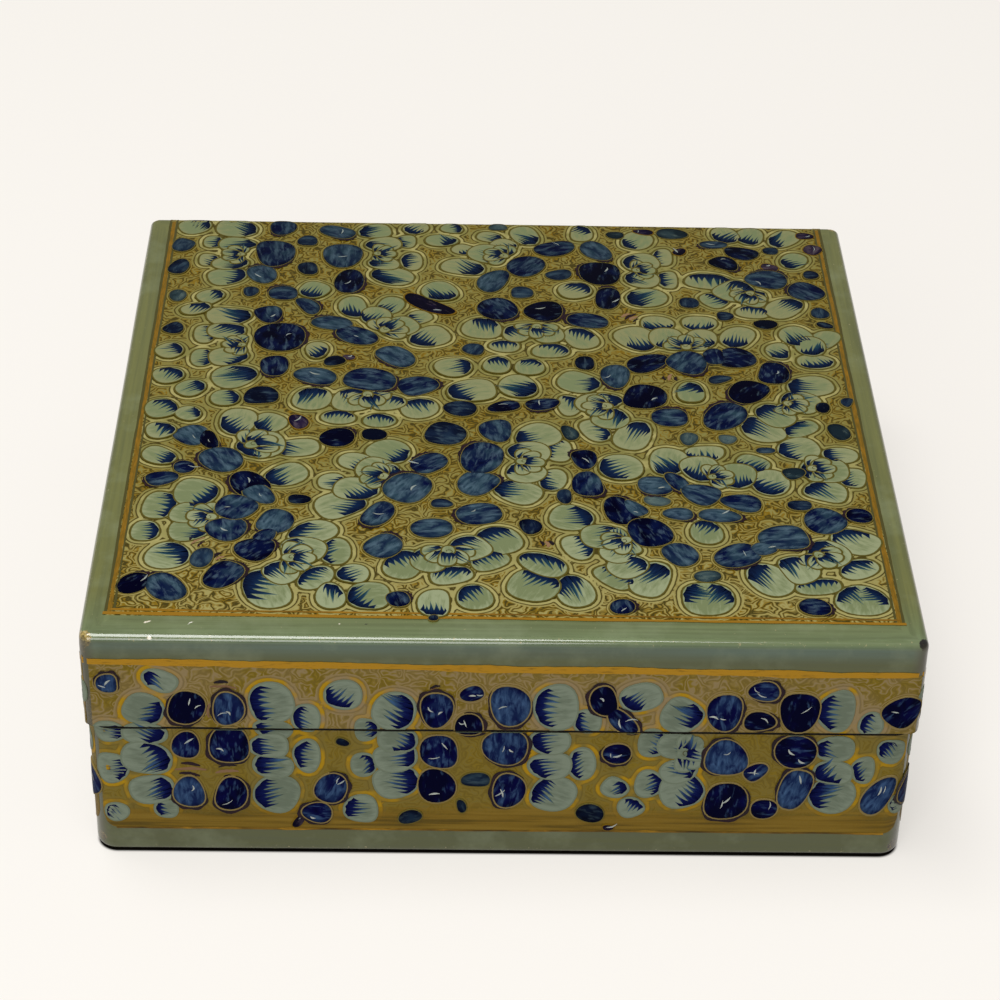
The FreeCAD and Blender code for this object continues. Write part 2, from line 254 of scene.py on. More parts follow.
# The front's three flowers, left to right, then its leaves.
WALL_BUNCHES = bunches("""\
S -64.6 34.4 7 7 155; S -64.8 28.6 8 5 180; S -64.6 22.8 9 7 170; S -64 15.2 8 6.4 190;
S -71.2 29 6 4.8 180; S -71 20.2 6 6.6 180; B -56.9 35 8 7 75; B -49.4 34.8 8.4 5.8 90;
B -57.4 26 6.8 5.4 85; B -49.6 26.2 8.8 7.6 90; B -57.3 14.9 7.6 6.2 90; B -49.4 14.6 8.6 6 80;
X -50.2 39.8 4.8 2.2 0; S -41.8 36.2 7.8 9 10; S -41.6 29.8 7 4.6 -10; S -42.4 26 6.8 5.4 0;
S -41.8 21.2 7.2 5.4 -10; S -41.2 14.6 8 8.6 -20; S -35.6 32.6 5 6.6 0; S -35.6 23.6 5 7.4 0

S -19.6 34.6 7.6 8.4 165; S -19 27.6 7 5.6 180; S -19.4 23.4 7.8 6.4 190; S -19.2 17.6 8.2 7.2 195;
S -24.6 30 4.4 5.2 180; S -25.2 21.6 4.6 5.4 180; B -11.9 34.9 8.6 6.2 90; B -11.5 25 8.2 7.2 90;
B -11.8 16.9 8.6 7.4 90; B 1.2 35.9 9.6 7.6 90; B 0.5 26 8.6 8.6 90; B 1.5 15.8 9 6.2 80;
B -5.7 38.8 5 3.8 25; B -6.2 31.6 5.6 5.4 90; D -4.8 18.4 5.6 3.6 0; S 9.4 35.8 7.8 10 5;
S 8.6 27.4 7.2 5.8 0; S 8.8 21.6 8 6 0; S 9.6 15 8 8 -20; S 15.2 32.4 5 5.6 0; S 14.6 22.2 5 7.4 0

S 32.2 34 7.4 7.4 150; S 32 27 7.6 6 180; H 33 25 3.8 3.8 0; S 32.4 20.8 7 5.4 195;
S 33.2 16.2 8 8.2 200; S 27.4 27.4 5.2 6.6 180; S 27.2 17.6 5.4 6.2 180; B 39.9 34.9 8.8 6.8 90;
B 40.9 24.2 9 8 90; B 41.6 14 9.4 8 90; B 53.4 35.2 9.4 7.6 90; B 53.6 25.8 8.4 7.8 0;
B 54 16.8 9.8 6.4 75; B 46.6 40 6.2 4.8 0; B 46.4 33.2 6.6 4.6 0; B 46.6 21 5.2 4 40;
B 48.8 12 5.4 5 0; S 60 35.4 6.6 9 0; S 60.6 26.4 7 5.6 0; S 60.8 20.8 7.2 5.2 -10;
S 61 15.4 8.4 8.4 -25; S 66.6 32.6 4.6 5.2 0; S 66.2 21.4 4.2 6 0

X -56.8 20.3 5.6 2.4 -5; X -49.8 19.9 5 2.6 5; X -53.2 34 5 1.4 80; X -12 39.6 3.6 1.4 0;
B -71 40.4 4.6 4.2 90; S -61.6 41 6.4 4.6 -30; S -28.8 38.2 6.6 6.4 0; D -29 27 3 1.8 -25;
B -31.2 16.2 7.6 6.2 70; B -33.9 10.2 5.8 5.4 0; M -37.2 8 3.8 2 60; S -70.8 9.8 4.4 4.4 -30;
S -61.6 10.6 4.4 4 0; S -25.8 11.2 6.2 6.2 0; D -7.2 12 3.6 2 100; D -16.7 9.3 4.8 3.4 20;
B 18 37.2 7.4 5.2 -75; B 21.4 32.6 8 4.2 -50; S 24.6 38.2 7.4 6 20; B 20.9 24.8 5.8 5 0;
S 20.9 16.6 5 4.4 150; S 24 12 4.8 4.6 210; D 16.6 10.6 5.6 4.6 -20; M 20.1 7 2.4 1.6 0;
B 72 35.6 7.4 7 50; S 71 25.8 5 5.4 0; B 69.6 15.6 10.4 5.4 65; S 73.8 13 4 4.6 0""")


def linear(colour: str) -> tuple[float, float, float, float]:
    """Turn an sRGB hex value to the linear colour that a socket takes.

    Args:
        colour: six hex digits, with or without a leading hash.

    Returns:
        Linear red, green, blue and an alpha of one.
    """
    digits = colour.lstrip("#")
    channels = [int(digits[i : i + 2], 16) / 255 for i in (0, 2, 4)]
    return (*[c / 12.92 if c <= 0.04045 else ((c + 0.055) / 1.055) ** 2.4 for c in channels], 1.0)


def unevenness(points: Array) -> Array:
    """How far the hand-laid gesso stands out or in at places on the box.

    Args:
        points: places on the box in mm, one per row.

    Returns:
        Height along the face's normal in mm, within about 0.1.
    """
    x, y, z = points[:, 0], points[:, 1], points[:, 2]
    slow = 0.045 * np.sin(x / 13.0 + 0.6) * np.sin(y / 17.0 + z / 15.0 + 1.1)
    quick = 0.010 * np.sin(x / 5.3 - y / 9.1 + 2.0) * np.sin(z / 4.2 + y / 7.7)
    return slow + quick


@dataclass(frozen=True)
class RoundedSquare:
    """Plan of the lid or the base: half its width and its corner radius."""

    half: float
    radius: float

    @property
    def flat(self) -> float:
        """Half the straight length of a side."""
        return self.half - self.radius

    @property
    def side(self) -> float:
        """Length of a side with half a corner at each end."""
        return 2 * self.flat + self.radius * math.pi / 2

    def wrap(self, along: Array) -> tuple[Array, Array]:
        """Lay lengths measured along the front side round the corners.

        Args:
            along: distances from the middle of the front side, to the right.

        Returns:
            Places in plan, and the unit normals there.
        """
        past = np.maximum(np.abs(along) - self.flat, 0.0)
        turn = np.minimum(past / self.radius, math.pi / 2)
        beyond = np.maximum(past - self.radius * math.pi / 2, 0.0)
        sign = np.sign(along)
        straight = np.minimum(np.abs(along), self.flat)
        x = sign * (straight + self.radius * np.sin(turn))
        y = -(self.flat + self.radius * np.cos(turn)) + beyond
        normals = np.stack([sign * np.sin(turn), -np.cos(turn)], axis=1)
        return np.stack([x, y], axis=1), normals


@dataclass(frozen=True)
class Face:
    """A painted face of the box, on which the brush works in across, up and lift."""

    body: str  # the CAD body that it moves with
    low: float | None  # where the brushwork is cut below and above
    high: float | None
    plan: RoundedSquare

    FILM = 0.04  # the painted ground lies this much over the sage

    def place(self, flat: Array) -> Array:
        """Move points from the flat of the face to the box.

        Args:
            flat: across, up and lift in mm, one point per row.

        Returns:
            The same points on the box, in mm.
        """
        raise NotImplementedError


@dataclass(frozen=True)
class TopFace(Face):
    """The lid's top, which rolls over the ridge at its edges."""

    height: float
    ridge: float

    def place(self, flat: Array) -> Array:
        """Lay points on the top, with across to the right and up to the back.

        Args:
            flat: across, up and lift in mm, one point per row.

        Returns:
            The same points on the box, in mm.
        """
        on_top = np.stack([flat[:, 0], flat[:, 1], np.full(len(flat), self.height)], axis=1)
        past = np.abs(flat[:, :2]).max(axis=1) - (self.plan.half - self.ridge)
        past = np.clip(past, 0.0, self.ridge * 0.95)
        drop = self.ridge - np.sqrt(self.ridge**2 - past**2)
        on_top[:, 2] += flat[:, 2] + self.FILM + unevenness(on_top) - drop
        return on_top


@dataclass(frozen=True)
class WallFace(Face):
    """One wall, turned from the front about the box's axis in quarter turns."""

    quarter: int

    def place(self, flat: Array) -> Array:
        """Lay points on the wall, with across to the right as seen from outside.

        Args:
            flat: across, up and lift in mm, one point per row.

        Returns:
            The same points on the box, in mm.
        """
        ground, normals = self.plan.wrap(flat[:, 0])
        places = np.column_stack([turned(ground, self.quarter), flat[:, 1]])
        lift = flat[:, 2] + self.FILM + unevenness(places)
        places[:, :2] += turned(normals, self.quarter) * lift[:, None]
        return places


def turned(plan: Array, quarter: int) -> Array:
    """Turn points in plan about the box's axis.

    Args:
        plan: x and y, one point per row.
        quarter: how many quarter turns, anticlockwise from above.

    Returns:
        The turned points.
    """
    cos, sin = ((1, 0), (0, 1), (-1, 0), (0, -1))[quarter % 4]
    return np.stack([plan[:, 0] * cos - plan[:, 1] * sin, plan[:, 0] * sin + plan[:, 1] * cos], 1)


def start_piece(name: str, primitive: Callable, **sizes: float) -> Object:
    """Add a primitive and open it for editing.

    Args:
        name: the piece's name.
        primitive: the operator that adds it.
        sizes: what the operator is told.

    Returns:
        The new object, all of it selected in edit mode.
    """
    clear_selection()
    primitive(**sizes)
    piece = bpy.context.active_object
    piece.name = name
    piece.data.name = name
    bpy.ops.object.mode_set(mode="EDIT")
    bpy.ops.mesh.select_all(action="SELECT")
    return piece


def clear_selection() -> None:
    """Deselect every object, so that an operator acts on nothing else."""
    bpy.ops.object.select_all(action="DESELECT")


def pick(piece: Object) -> None:
    """Select one piece alone and make it the active one.

    Args:
        piece: the piece.
    """
    clear_selection()
    piece.select_set(True)
    bpy.context.view_layer.objects.active = piece


def smooth(piece: Object) -> None:
    """Shade a piece smooth, but for its sharp edges."""
    pick(piece)
    bpy.ops.object.shade_smooth_by_angle(angle=SMOOTH_ANGLE)


def leave_edit_mode() -> None:
    """Turn the open piece's faces outwards and leave edit mode."""
    bpy.ops.mesh.select_all(action="SELECT")
    bpy.ops.mesh.normals_make_consistent(inside=False)
    bpy.ops.object.mode_set(mode="OBJECT")


def vertex_table(mesh: Mesh) -> Array:
    """Read a mesh's vertices.

    Args:
        mesh: the mesh.

    Returns:
        One vertex per row.
    """
    table = np.zeros(len(mesh.vertices) * 3)
    mesh.vertices.foreach_get("co", table)
    return table.reshape(-1, 3)


def keep_float(mesh: Mesh, name: str, values: Array) -> None:
    """Store one number per vertex under a name that materials read."""
    layer = mesh.attributes.new(name, "FLOAT", "POINT")
    layer.data.foreach_set("value", values.astype(np.float32))


def keep_brush(mesh: Mesh, table: Array) -> None:
    """Store the map of brush marks that materials read.

    Args:
        mesh: the mesh.
        table: two lengths per vertex, in mm.
    """
    layer = mesh.uv_layers.new(name="Brush")
    corners = np.zeros(len(mesh.loops), dtype=np.int32)
    mesh.loops.foreach_get("vertex_index", corners)
    layer.data.foreach_set("uv", table[corners].astype(np.float32).ravel())


@dataclass(frozen=True)
class Blank:
    """A small closed shape, modelled once, that each stroke copies and bends."""

    points: Array
    faces: tuple[tuple[int, ...], ...]

    @staticmethod
    def taken_from(piece: Object) -> Blank:
        """Read the shape of a modelled piece and remove the piece.

        Args:
            piece: the piece, in object mode.

        Returns:
            Its points and faces.
        """
        points = vertex_table(piece.data)
        faces = tuple(tuple(face.vertices) for face in piece.data.polygons)
        bpy.data.meshes.remove(piece.data)
        return Blank(points, faces)


class Blanks:
    """The blanks of the brushwork: a petal pad, combs of several lengths and a plain stroke."""

    PETAL_SIDES = 26
    TOOTH_STEPS = 6
    STROKE_STEPS = 10
    RINGS = (0.14, 0.36)  # insets of the petal's inner rings

    def __init__(self) -> None:
        """Model the petal pad and keep a shelf for the strips."""
        self.petal = self._model_petal()
        self.strips: dict[int, Blank] = {}

    def strip(self, steps: int) -> Blank:
        """Get the strip blank with that many steps along it.

        Args:
            steps: how many.

        Returns:
            The blank, modelled at its first use.
        """
        if steps not in self.strips:
            self.strips[steps] = self._model_strip(steps)
        return self.strips[steps]

    def _model_petal(self) -> Blank:
        """Model a round pad of unit radius.

        Returns:
            The pad, with two inner rings and a middle point.
        """
        add = bpy.ops.mesh.primitive_cylinder_add
        pad = start_piece("petal_blank", add, vertices=self.PETAL_SIDES, radius=1, depth=1)
        bpy.ops.mesh.select_mode(type="FACE")
        bpy.ops.mesh.select_all(action="DESELECT")
        mesh = bmesh.from_edit_mesh(pad.data)
        for face in mesh.faces:
            face.select_set(face.normal.z > 0.9)
        bmesh.update_edit_mesh(pad.data)
        for ring in self.RINGS:
            bpy.ops.mesh.inset(thickness=ring)
        bpy.ops.mesh.poke()
        bpy.ops.object.mode_set(mode="OBJECT")
        return Blank.taken_from(pad)

    def _model_strip(self, steps: int) -> Blank:
        """Model a closed strip of unit length.

        Args:
            steps: how many steps it has along it.

        Returns:
            The strip, from one edge at y -0.5 to the other at 0.5.
        """
        add = bpy.ops.mesh.primitive_grid_add
        strip = start_piece("strip_blank", add, x_subdivisions=steps, y_subdivisions=1, size=1)
        bpy.ops.mesh.extrude_region_move(TRANSFORM_OT_translate={"value": (0, 0, 1)})
        leave_edit_mode()
        return Blank.taken_from(strip)


@dataclass
class PetalShape:
    """Outline and dome of one petal, a little different from its neighbours."""

    stroke: Stroke
    seed: int
    egg: float = field(init=False)
    bend: float = field(init=False)
    square: float = field(init=False)
    wobble: tuple[float, float, float, float] = field(init=False)

    def __post_init__(self) -> None:
        """Draw this petal's own irregularities."""
        draw = np.random.default_rng(self.seed)
        leaf = self.stroke[0] in DARK_PETALS
        self.egg = draw.uniform(-0.22, 0.22) if leaf else draw.uniform(0.03, 0.15)
        self.bend = draw.uniform(-0.12, 0.12)
        self.square = draw.uniform(0.80, 0.98)
        reach = 0.05 if leaf else 0.035
        self.wobble = tuple(draw.uniform(*span) for span in ((-reach, reach), (0, 6.28)) * 2)

    @property
    def half_long(self) -> float:
        """Half the petal's length."""
        return self.stroke[3] / 2 * GROWTH.get(self.stroke[0], 1.0)

    @property
    def half_wide(self) -> float:
        """Half the petal's width."""
        return self.stroke[4] / 2 * GROWTH.get(self.stroke[0], 1.0)

    def edge(self, around: Array) -> Array:
        """Points of the outline in the petal's own directions.

        Args:
            around: angles in radians, with the tip at zero.

        Returns:
            Along and across, one point per row.
        """
        cos, sin = np.cos(around), np.sin(around)
        along = self.half_long * np.sign(cos) * np.abs(cos) ** self.square
        across = self.half_wide * np.sign(sin) * np.abs(sin) ** self.square * (1 + self.egg * cos)
        first, first_at, second, second_at = self.wobble
        swell = 1 + first * np.sin(2 * around + first_at) + second * np.sin(3 * around + second_at)
        across = across + self.bend * along**2 / self.half_long
        return np.stack([along * swell, across * swell], axis=1)

    def lay(self, local: Array) -> Array:
        """Turn and move points from the petal's own directions to its face.

        Args:
            local: along and across, one point per row.

        Returns:
            Across and up on the face.
        """
        _, x, y, _, _, degrees = self.stroke
        cos, sin = math.cos(math.radians(degrees)), math.sin(math.radians(degrees))
        return np.stack(
            [x + local[:, 0] * cos - local[:, 1] * sin, y + local[:, 0] * sin + local[:, 1] * cos],
            axis=1,
        )

    def share(self, local: Array) -> Array:
        """How far from the middle to the edge each point lies, from 0 to 1."""
        return np.hypot(local[:, 0] / self.half_long, local[:, 1] / self.half_wide)


DOME_KNOTS = (0.0, 0.5, 0.86, 1.0)
DOME_HEIGHTS = (1.0, 0.78, 0.3, 0.0)


@dataclass
class Brushwork:
    """Strokes that share one object, laid flat and then moved on to a face of the box."""

    name: str
    blanks: Blanks
    finishes: list[Material]  # in the order of Layer
    rows: list[Array] = field(default_factory=list)
    faces: list[tuple[int, ...]] = field(default_factory=list)
    layers: list[int] = field(default_factory=list)
    count: int = 0

    TOOTH_PITCH = 0.9  # mm between a comb's teeth

    def add(
        self, blank: Blank, flat: Array, height: Array, rim: Array, grain: Array, tone: float,
        layer: Layer,
    ) -> None:
        """Add one bent copy of a blank.

        Args:
            blank: the copied shape, for its faces.
            flat: across and up of each of its points.
            height: how high each point lies.
            rim: distance of each point from the stroke's own edge.
            grain: along and across the stroke in mm, for brush marks.
            tone: a number from 0 to 1 that sets this stroke's shade.
            layer: which paint.
        """
        self.rows.append(np.column_stack([flat, height, rim, np.full(len(flat), tone), grain]))
        self.faces.extend(tuple(v + self.count for v in face) for face in blank.faces)
        self.layers.extend([layer.value] * len(blank.faces))
        self.count += len(flat)

    def lay_petal(
        self, shape: PetalShape, lift: float, dome: float, layer: Layer, slate: float = 0.0
    ) -> None:
        """Lay the body of a petal.

        Args:
            shape: its outline.
            lift: height of its edge above the ground.
            dome: how much its middle stands above its edge.
            layer: which paint.
            slate: how much white is in its paint.
        """
        blank = self.blanks.petal
        share = np.hypot(blank.points[:, 0], blank.points[:, 1])
        around = np.arctan2(blank.points[:, 1], blank.points[:, 0])
        local = shape.edge(around) * share[:, None]
        top = blank.points[:, 2] > 0
        rise = np.interp(share, DOME_KNOTS, DOME_HEIGHTS) * dome
        height = np.where(top, lift + rise, min(lift - 0.03, -0.08))
        rim = (1 - share) * min(shape.half_long, shape.half_wide)
        tone = float(np.random.default_rng(shape.seed + 5).random()) * (1 - slate) + slate
        grain = local + [tone * 90, tone * 40]
        self.add(blank, shape.lay(local), height, rim, grain, tone, layer)

    def lay_comb(
        self, shape: PetalShape, lift: float, about: float, span: float, deep: float, layer: Layer
    ) -> None:
        """Lay the comb that hugs a pale petal's edge, its teeth towards the tip.

        Args:
            shape: the petal.
            lift: height of the comb above the ground.
            about: angle of the comb's middle round the petal, in radians.
            span: half the angle that it covers.
            deep: reach of its longest teeth, as a share of the petal's length.
            layer: the indigo comb, or the paler one that feathers it from below.
        """
        draw = np.random.default_rng(shape.seed + 11)
        width = 2 * shape.half_wide * math.sin(min(span, math.pi / 2))
        teeth = int(np.clip(round(width / self.TOOTH_PITCH), 3, 8))
        blank = self.blanks.strip(teeth * self.blanks.TOOTH_STEPS)
        t = blank.points[:, 0] + 0.5
        inner = blank.points[:, 1] > 0
        around = about + span * (1 - 2 * t)
        edge = shape.edge(around)
        size = min(shape.half_long, shape.half_wide)
        rough = np.interp(t, np.linspace(0, 1, 9), draw.uniform(0.7, 1.5, 9))
        base = edge * (1 - rough * np.clip(0.42 / size, 0.07, 0.2))[:, None]
        swell = np.sin(np.clip(t, 0.0, 1.0) * math.pi)
        swell = swell * (1 + draw.uniform(-0.9, 0.9) * (t - 0.5))
        phase = (t * teeth) % 1.0
        saw = (1 - np.abs(2 * phase - 1)) ** 1.3
        lengths = draw.uniform(0.5, 1.2, teeth + 1)[np.minimum((t * teeth).astype(int), teeth)]
        long = 2 * shape.half_long * deep
        depth = long * (0.30 * swell**0.7 + 0.70 * saw * lengths * (0.35 + 0.65 * swell))
        aim = about + math.pi
        ahead = np.array([math.cos(aim), math.sin(aim)])
        side = np.array([-math.sin(aim), math.cos(aim)])
        curl = draw.uniform(-0.5, 0.5)
        drift = (-0.25 * (base @ side) * depth / long + curl * depth**2 / long)[:, None] * side
        local = np.where(inner[:, None], base + depth[:, None] * ahead + drift, base)
        height = np.where(blank.points[:, 2] > 0.5, lift + 0.003, lift - 0.003)
        grain = np.column_stack([np.where(inner, depth, 0.0), base @ side])
        grain += [draw.uniform(0, 80), 0]
        along = np.where(inner, np.clip(depth / long, 0, 1), 0.0)
        self.add(blank, shape.lay(local), height, along, grain, draw.random(), layer)

    def lay_line(
        self, shape: PetalShape, path: Array, width: Array | float,
        lift: Array | float, layer: Layer, tone: float = 0.5,
    ) -> None:
        """Lay a thin stroke along a path in the petal's own directions.

        Args:
            shape: the petal that carries the stroke.
            path: along and across, row by row.
            width: the stroke's width, at each row or all along.
            lift: its height, at each row or all along.
            layer: which paint.
            tone: this stroke's shade.
        """
        blank = self.blanks.strip(len(path) - 1)
        column = np.rint((blank.points[:, 0] + 0.5) * (len(path) - 1)).astype(int)
        width, lift = np.broadcast_to(width, len(path)), np.broadcast_to(lift, len(path))
        way = np.gradient(path, axis=0)
        way /= np.maximum(np.hypot(way[:, 0], way[:, 1]), 1e-6)[:, None]
        side = np.stack([-way[:, 1], way[:, 0]], axis=1)
        local = path[column] + side[column] * (width[column] * blank.points[:, 1])[:, None]
        height = lift[column] + np.where(blank.points[:, 2] > 0.5, 0.004, -0.004)
        grain = np.column_stack([column * 0.3, blank.points[:, 1]])
        self.add(blank, shape.lay(local), height, width[column] / 2, grain, tone, layer)

    def lay_cap(self, shape: PetalShape, lift: float, about: float, span: float) -> None:
        """Lay a dark crescent that peeps out along one side of a petal.

        Args:
            shape: the petal.
            lift: height of the crescent.
            about: angle of its middle round the petal, in radians.
            span: half the angle that it covers.
        """
        t = np.linspace(0, 1, 29)
        edge = shape.edge(about + span * (2 * t - 1))
        swell = np.sin(t * math.pi)
        path = edge * (1 + 0.035 * swell)[:, None]
        ragged = 1 + 0.35 * np.sin(t * 31 + shape.seed)
        self.lay_line(shape, path, (0.15 + 0.85 * swell) * ragged, lift, Layer.CAP)

    def lay_glints(self, shape: PetalShape, lift: float, dome: float, count: int) -> None:
        """Lay painted highlights, fine pale ticks of gloss, on a blue petal.

        Args:
            shape: the petal.
            lift: height of the petal's edge.
            dome: how much its middle stands above its edge.
            count: how many painted highlights.
        """
        draw = np.random.default_rng(shape.seed + 23)
        t = np.linspace(0, 1, self.blanks.STROKE_STEPS + 1)
        for _ in range(count):
            start = draw.uniform(-0.45, 0.35, 2) * [shape.half_long, shape.half_wide]
            aim = draw.uniform(-0.9, 0.9) + (math.pi / 2 if draw.random() < 0.4 else 0)
            length = draw.uniform(0.9, 2.4)
            curve = draw.uniform(-0.35, 0.35)
            ahead = np.array([math.cos(aim), math.sin(aim)])
            side = np.array([-math.sin(aim), math.cos(aim)])
            path = start + np.outer(t * length, ahead) + np.outer(curve * np.sin(t * math.pi), side)
            share = np.clip(shape.share(path), 0, 0.98)
            height = lift + dome * np.interp(share, DOME_KNOTS, DOME_HEIGHTS) + 0.02
            width = draw.uniform(0.16, 0.42) * np.sin(np.clip(t, 0.05, 0.95) * math.pi) ** 0.7
            self.lay_line(shape, path, width, height, Layer.GLINT, draw.random())

    def finish(self, face: Face) -> None:
        """Make the mesh, cut it where its face ends and move it on to the face.

        Args:
            face: the face of the box.
        """
        table = np.concatenate(self.rows)
        mesh = bpy.data.meshes.new(self.name)
        mesh.from_pydata(table[:, :3].tolist(), [], self.faces)
        keep_float(mesh, "rim", table[:, 3])
        keep_float(mesh, "tone", table[:, 4])
        keep_brush(mesh, table[:, 5:])
        mesh.polygons.foreach_set("material_index", np.array(self.layers, dtype=np.int32))
        for cut, upward in ((face.low, True), (face.high, False)):
            if cut is not None:
                cut_flat(mesh, cut, upward)
        if not mesh.vertices:
            bpy.data.meshes.remove(mesh)
            return
        mesh.vertices.foreach_set("co", (face.place(vertex_table(mesh)) * MM).ravel())
        mesh.polygons.foreach_set("use_smooth", np.ones(len(mesh.polygons), dtype=bool))
        for finish in self.finishes:
            mesh.materials.append(finish)
        mesh.update()
        piece = bpy.data.objects.new(self.name, mesh)
        bpy.context.scene.collection.objects.link(piece)
        smooth(piece)
        join(piece, face.body)


def cut_flat(mesh: Mesh, up: float, keep_above: bool) -> None:
    """Cut a flat mesh across and close what the cut opens.

    Args:
        mesh: the mesh, in across, up and lift.
        up: where the cut runs.
        keep_above: True where the part above the cut stays.
    """
    work = bmesh.new()
    work.from_mesh(mesh)
    found = bmesh.ops.bisect_plane(
        work, geom=work.verts[:] + work.edges[:] + work.faces[:], dist=1e-5,
        plane_co=(0, up, 0), plane_no=(0, 1, 0), clear_inner=keep_above, clear_outer=not keep_above,
    )
    rims = [g for g in found["geom_cut"] if isinstance(g, bmesh.types.BMEdge)]
    bmesh.ops.edgeloop_fill(work, edges=rims)
    work.to_mesh(mesh)
    work.free()


def join(piece: Object, body: str) -> None:
    """Let a piece move with a CAD body.

    Args:
        piece: the finished piece.
        body: the CAD body.
    """
    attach(piece, body)
    LOG.info("%s: %d faces, moves with the %s", piece.name, len(piece.data.polygons), body)


class Layer(Enum):
    """Paints of the brushwork, by their place in a piece's list of materials."""

    PALE = 0
    BLUE = 1
    DARK = 2
    GREY = 3
    MAROON = 4
    COMB = 5
    GLINT = 6
    CAP = 7
    INK = 8
    GOLD = 9
    FEATHER = 10
    BLUSH = 11


def shapes_of(bunch: Bunch, seed: int) -> list[PetalShape]:
    """Give each stroke of a bunch its own small irregularities, and each heart its ring.

    Args:
        bunch: the strokes.
        seed: what sets this bunch's irregularities.

    Returns:
        One shape per stroke in the order of the bunch, then the rings' petals.
    """
    opened = list(bunch)
    for _, x, y, long, _, degrees in [stroke for stroke in bunch if stroke[0] is Paint.HEART]:
        reach = 0.62 * long + 1.3
        for turn in (-86, 84, -46, 44, -2):
            way = math.radians(degrees + turn)
            opened.append(
                (Paint.INNER, x + 0.62 * reach * math.cos(way), y + 0.62 * reach * math.sin(way),
                 1.3 * reach, 0.92 * reach, degrees + turn)
            )
    return [PetalShape(stroke, seed * 100 + place) for place, stroke in enumerate(opened)]


def gap_to(points: Array, shapes: list[PetalShape], reach: float = 5.0) -> Array:
    """Distance from places on a face to the nearest of some petals.

    Args:
        points: across and up in mm.
        shapes: the petals.
        reach: the largest distance that is told.

    Returns:
        Distance in mm, negative under a petal.
    """
    gap = np.full(len(points), reach)
    around = np.linspace(0, 2 * math.pi, 28, endpoint=False)
    for shape in shapes:
        loop = shape.lay(shape.edge(around))
        low, high = loop.min(axis=0) - reach, loop.max(axis=0) + reach
        close = np.flatnonzero(((points > low) & (points < high)).all(axis=1))
        if not len(close):
            continue
        spot = points[close][:, None, :]
        ends = np.roll(loop, -1, axis=0)
        edge, from_start = ends - loop, spot - loop
        share = np.clip((from_start * edge).sum(-1) / (edge**2).sum(-1), 0, 1)
        away = from_start - share[..., None] * edge
        nearest = np.sqrt((away**2).sum(-1)).min(axis=1)
        side = edge[:, 0] * from_start[..., 1] - edge[:, 1] * from_start[..., 0]
        inside = (side > 0).all(axis=1)
        gap[close] = np.minimum(gap[close], np.where(inside, -nearest, nearest))
    return gap


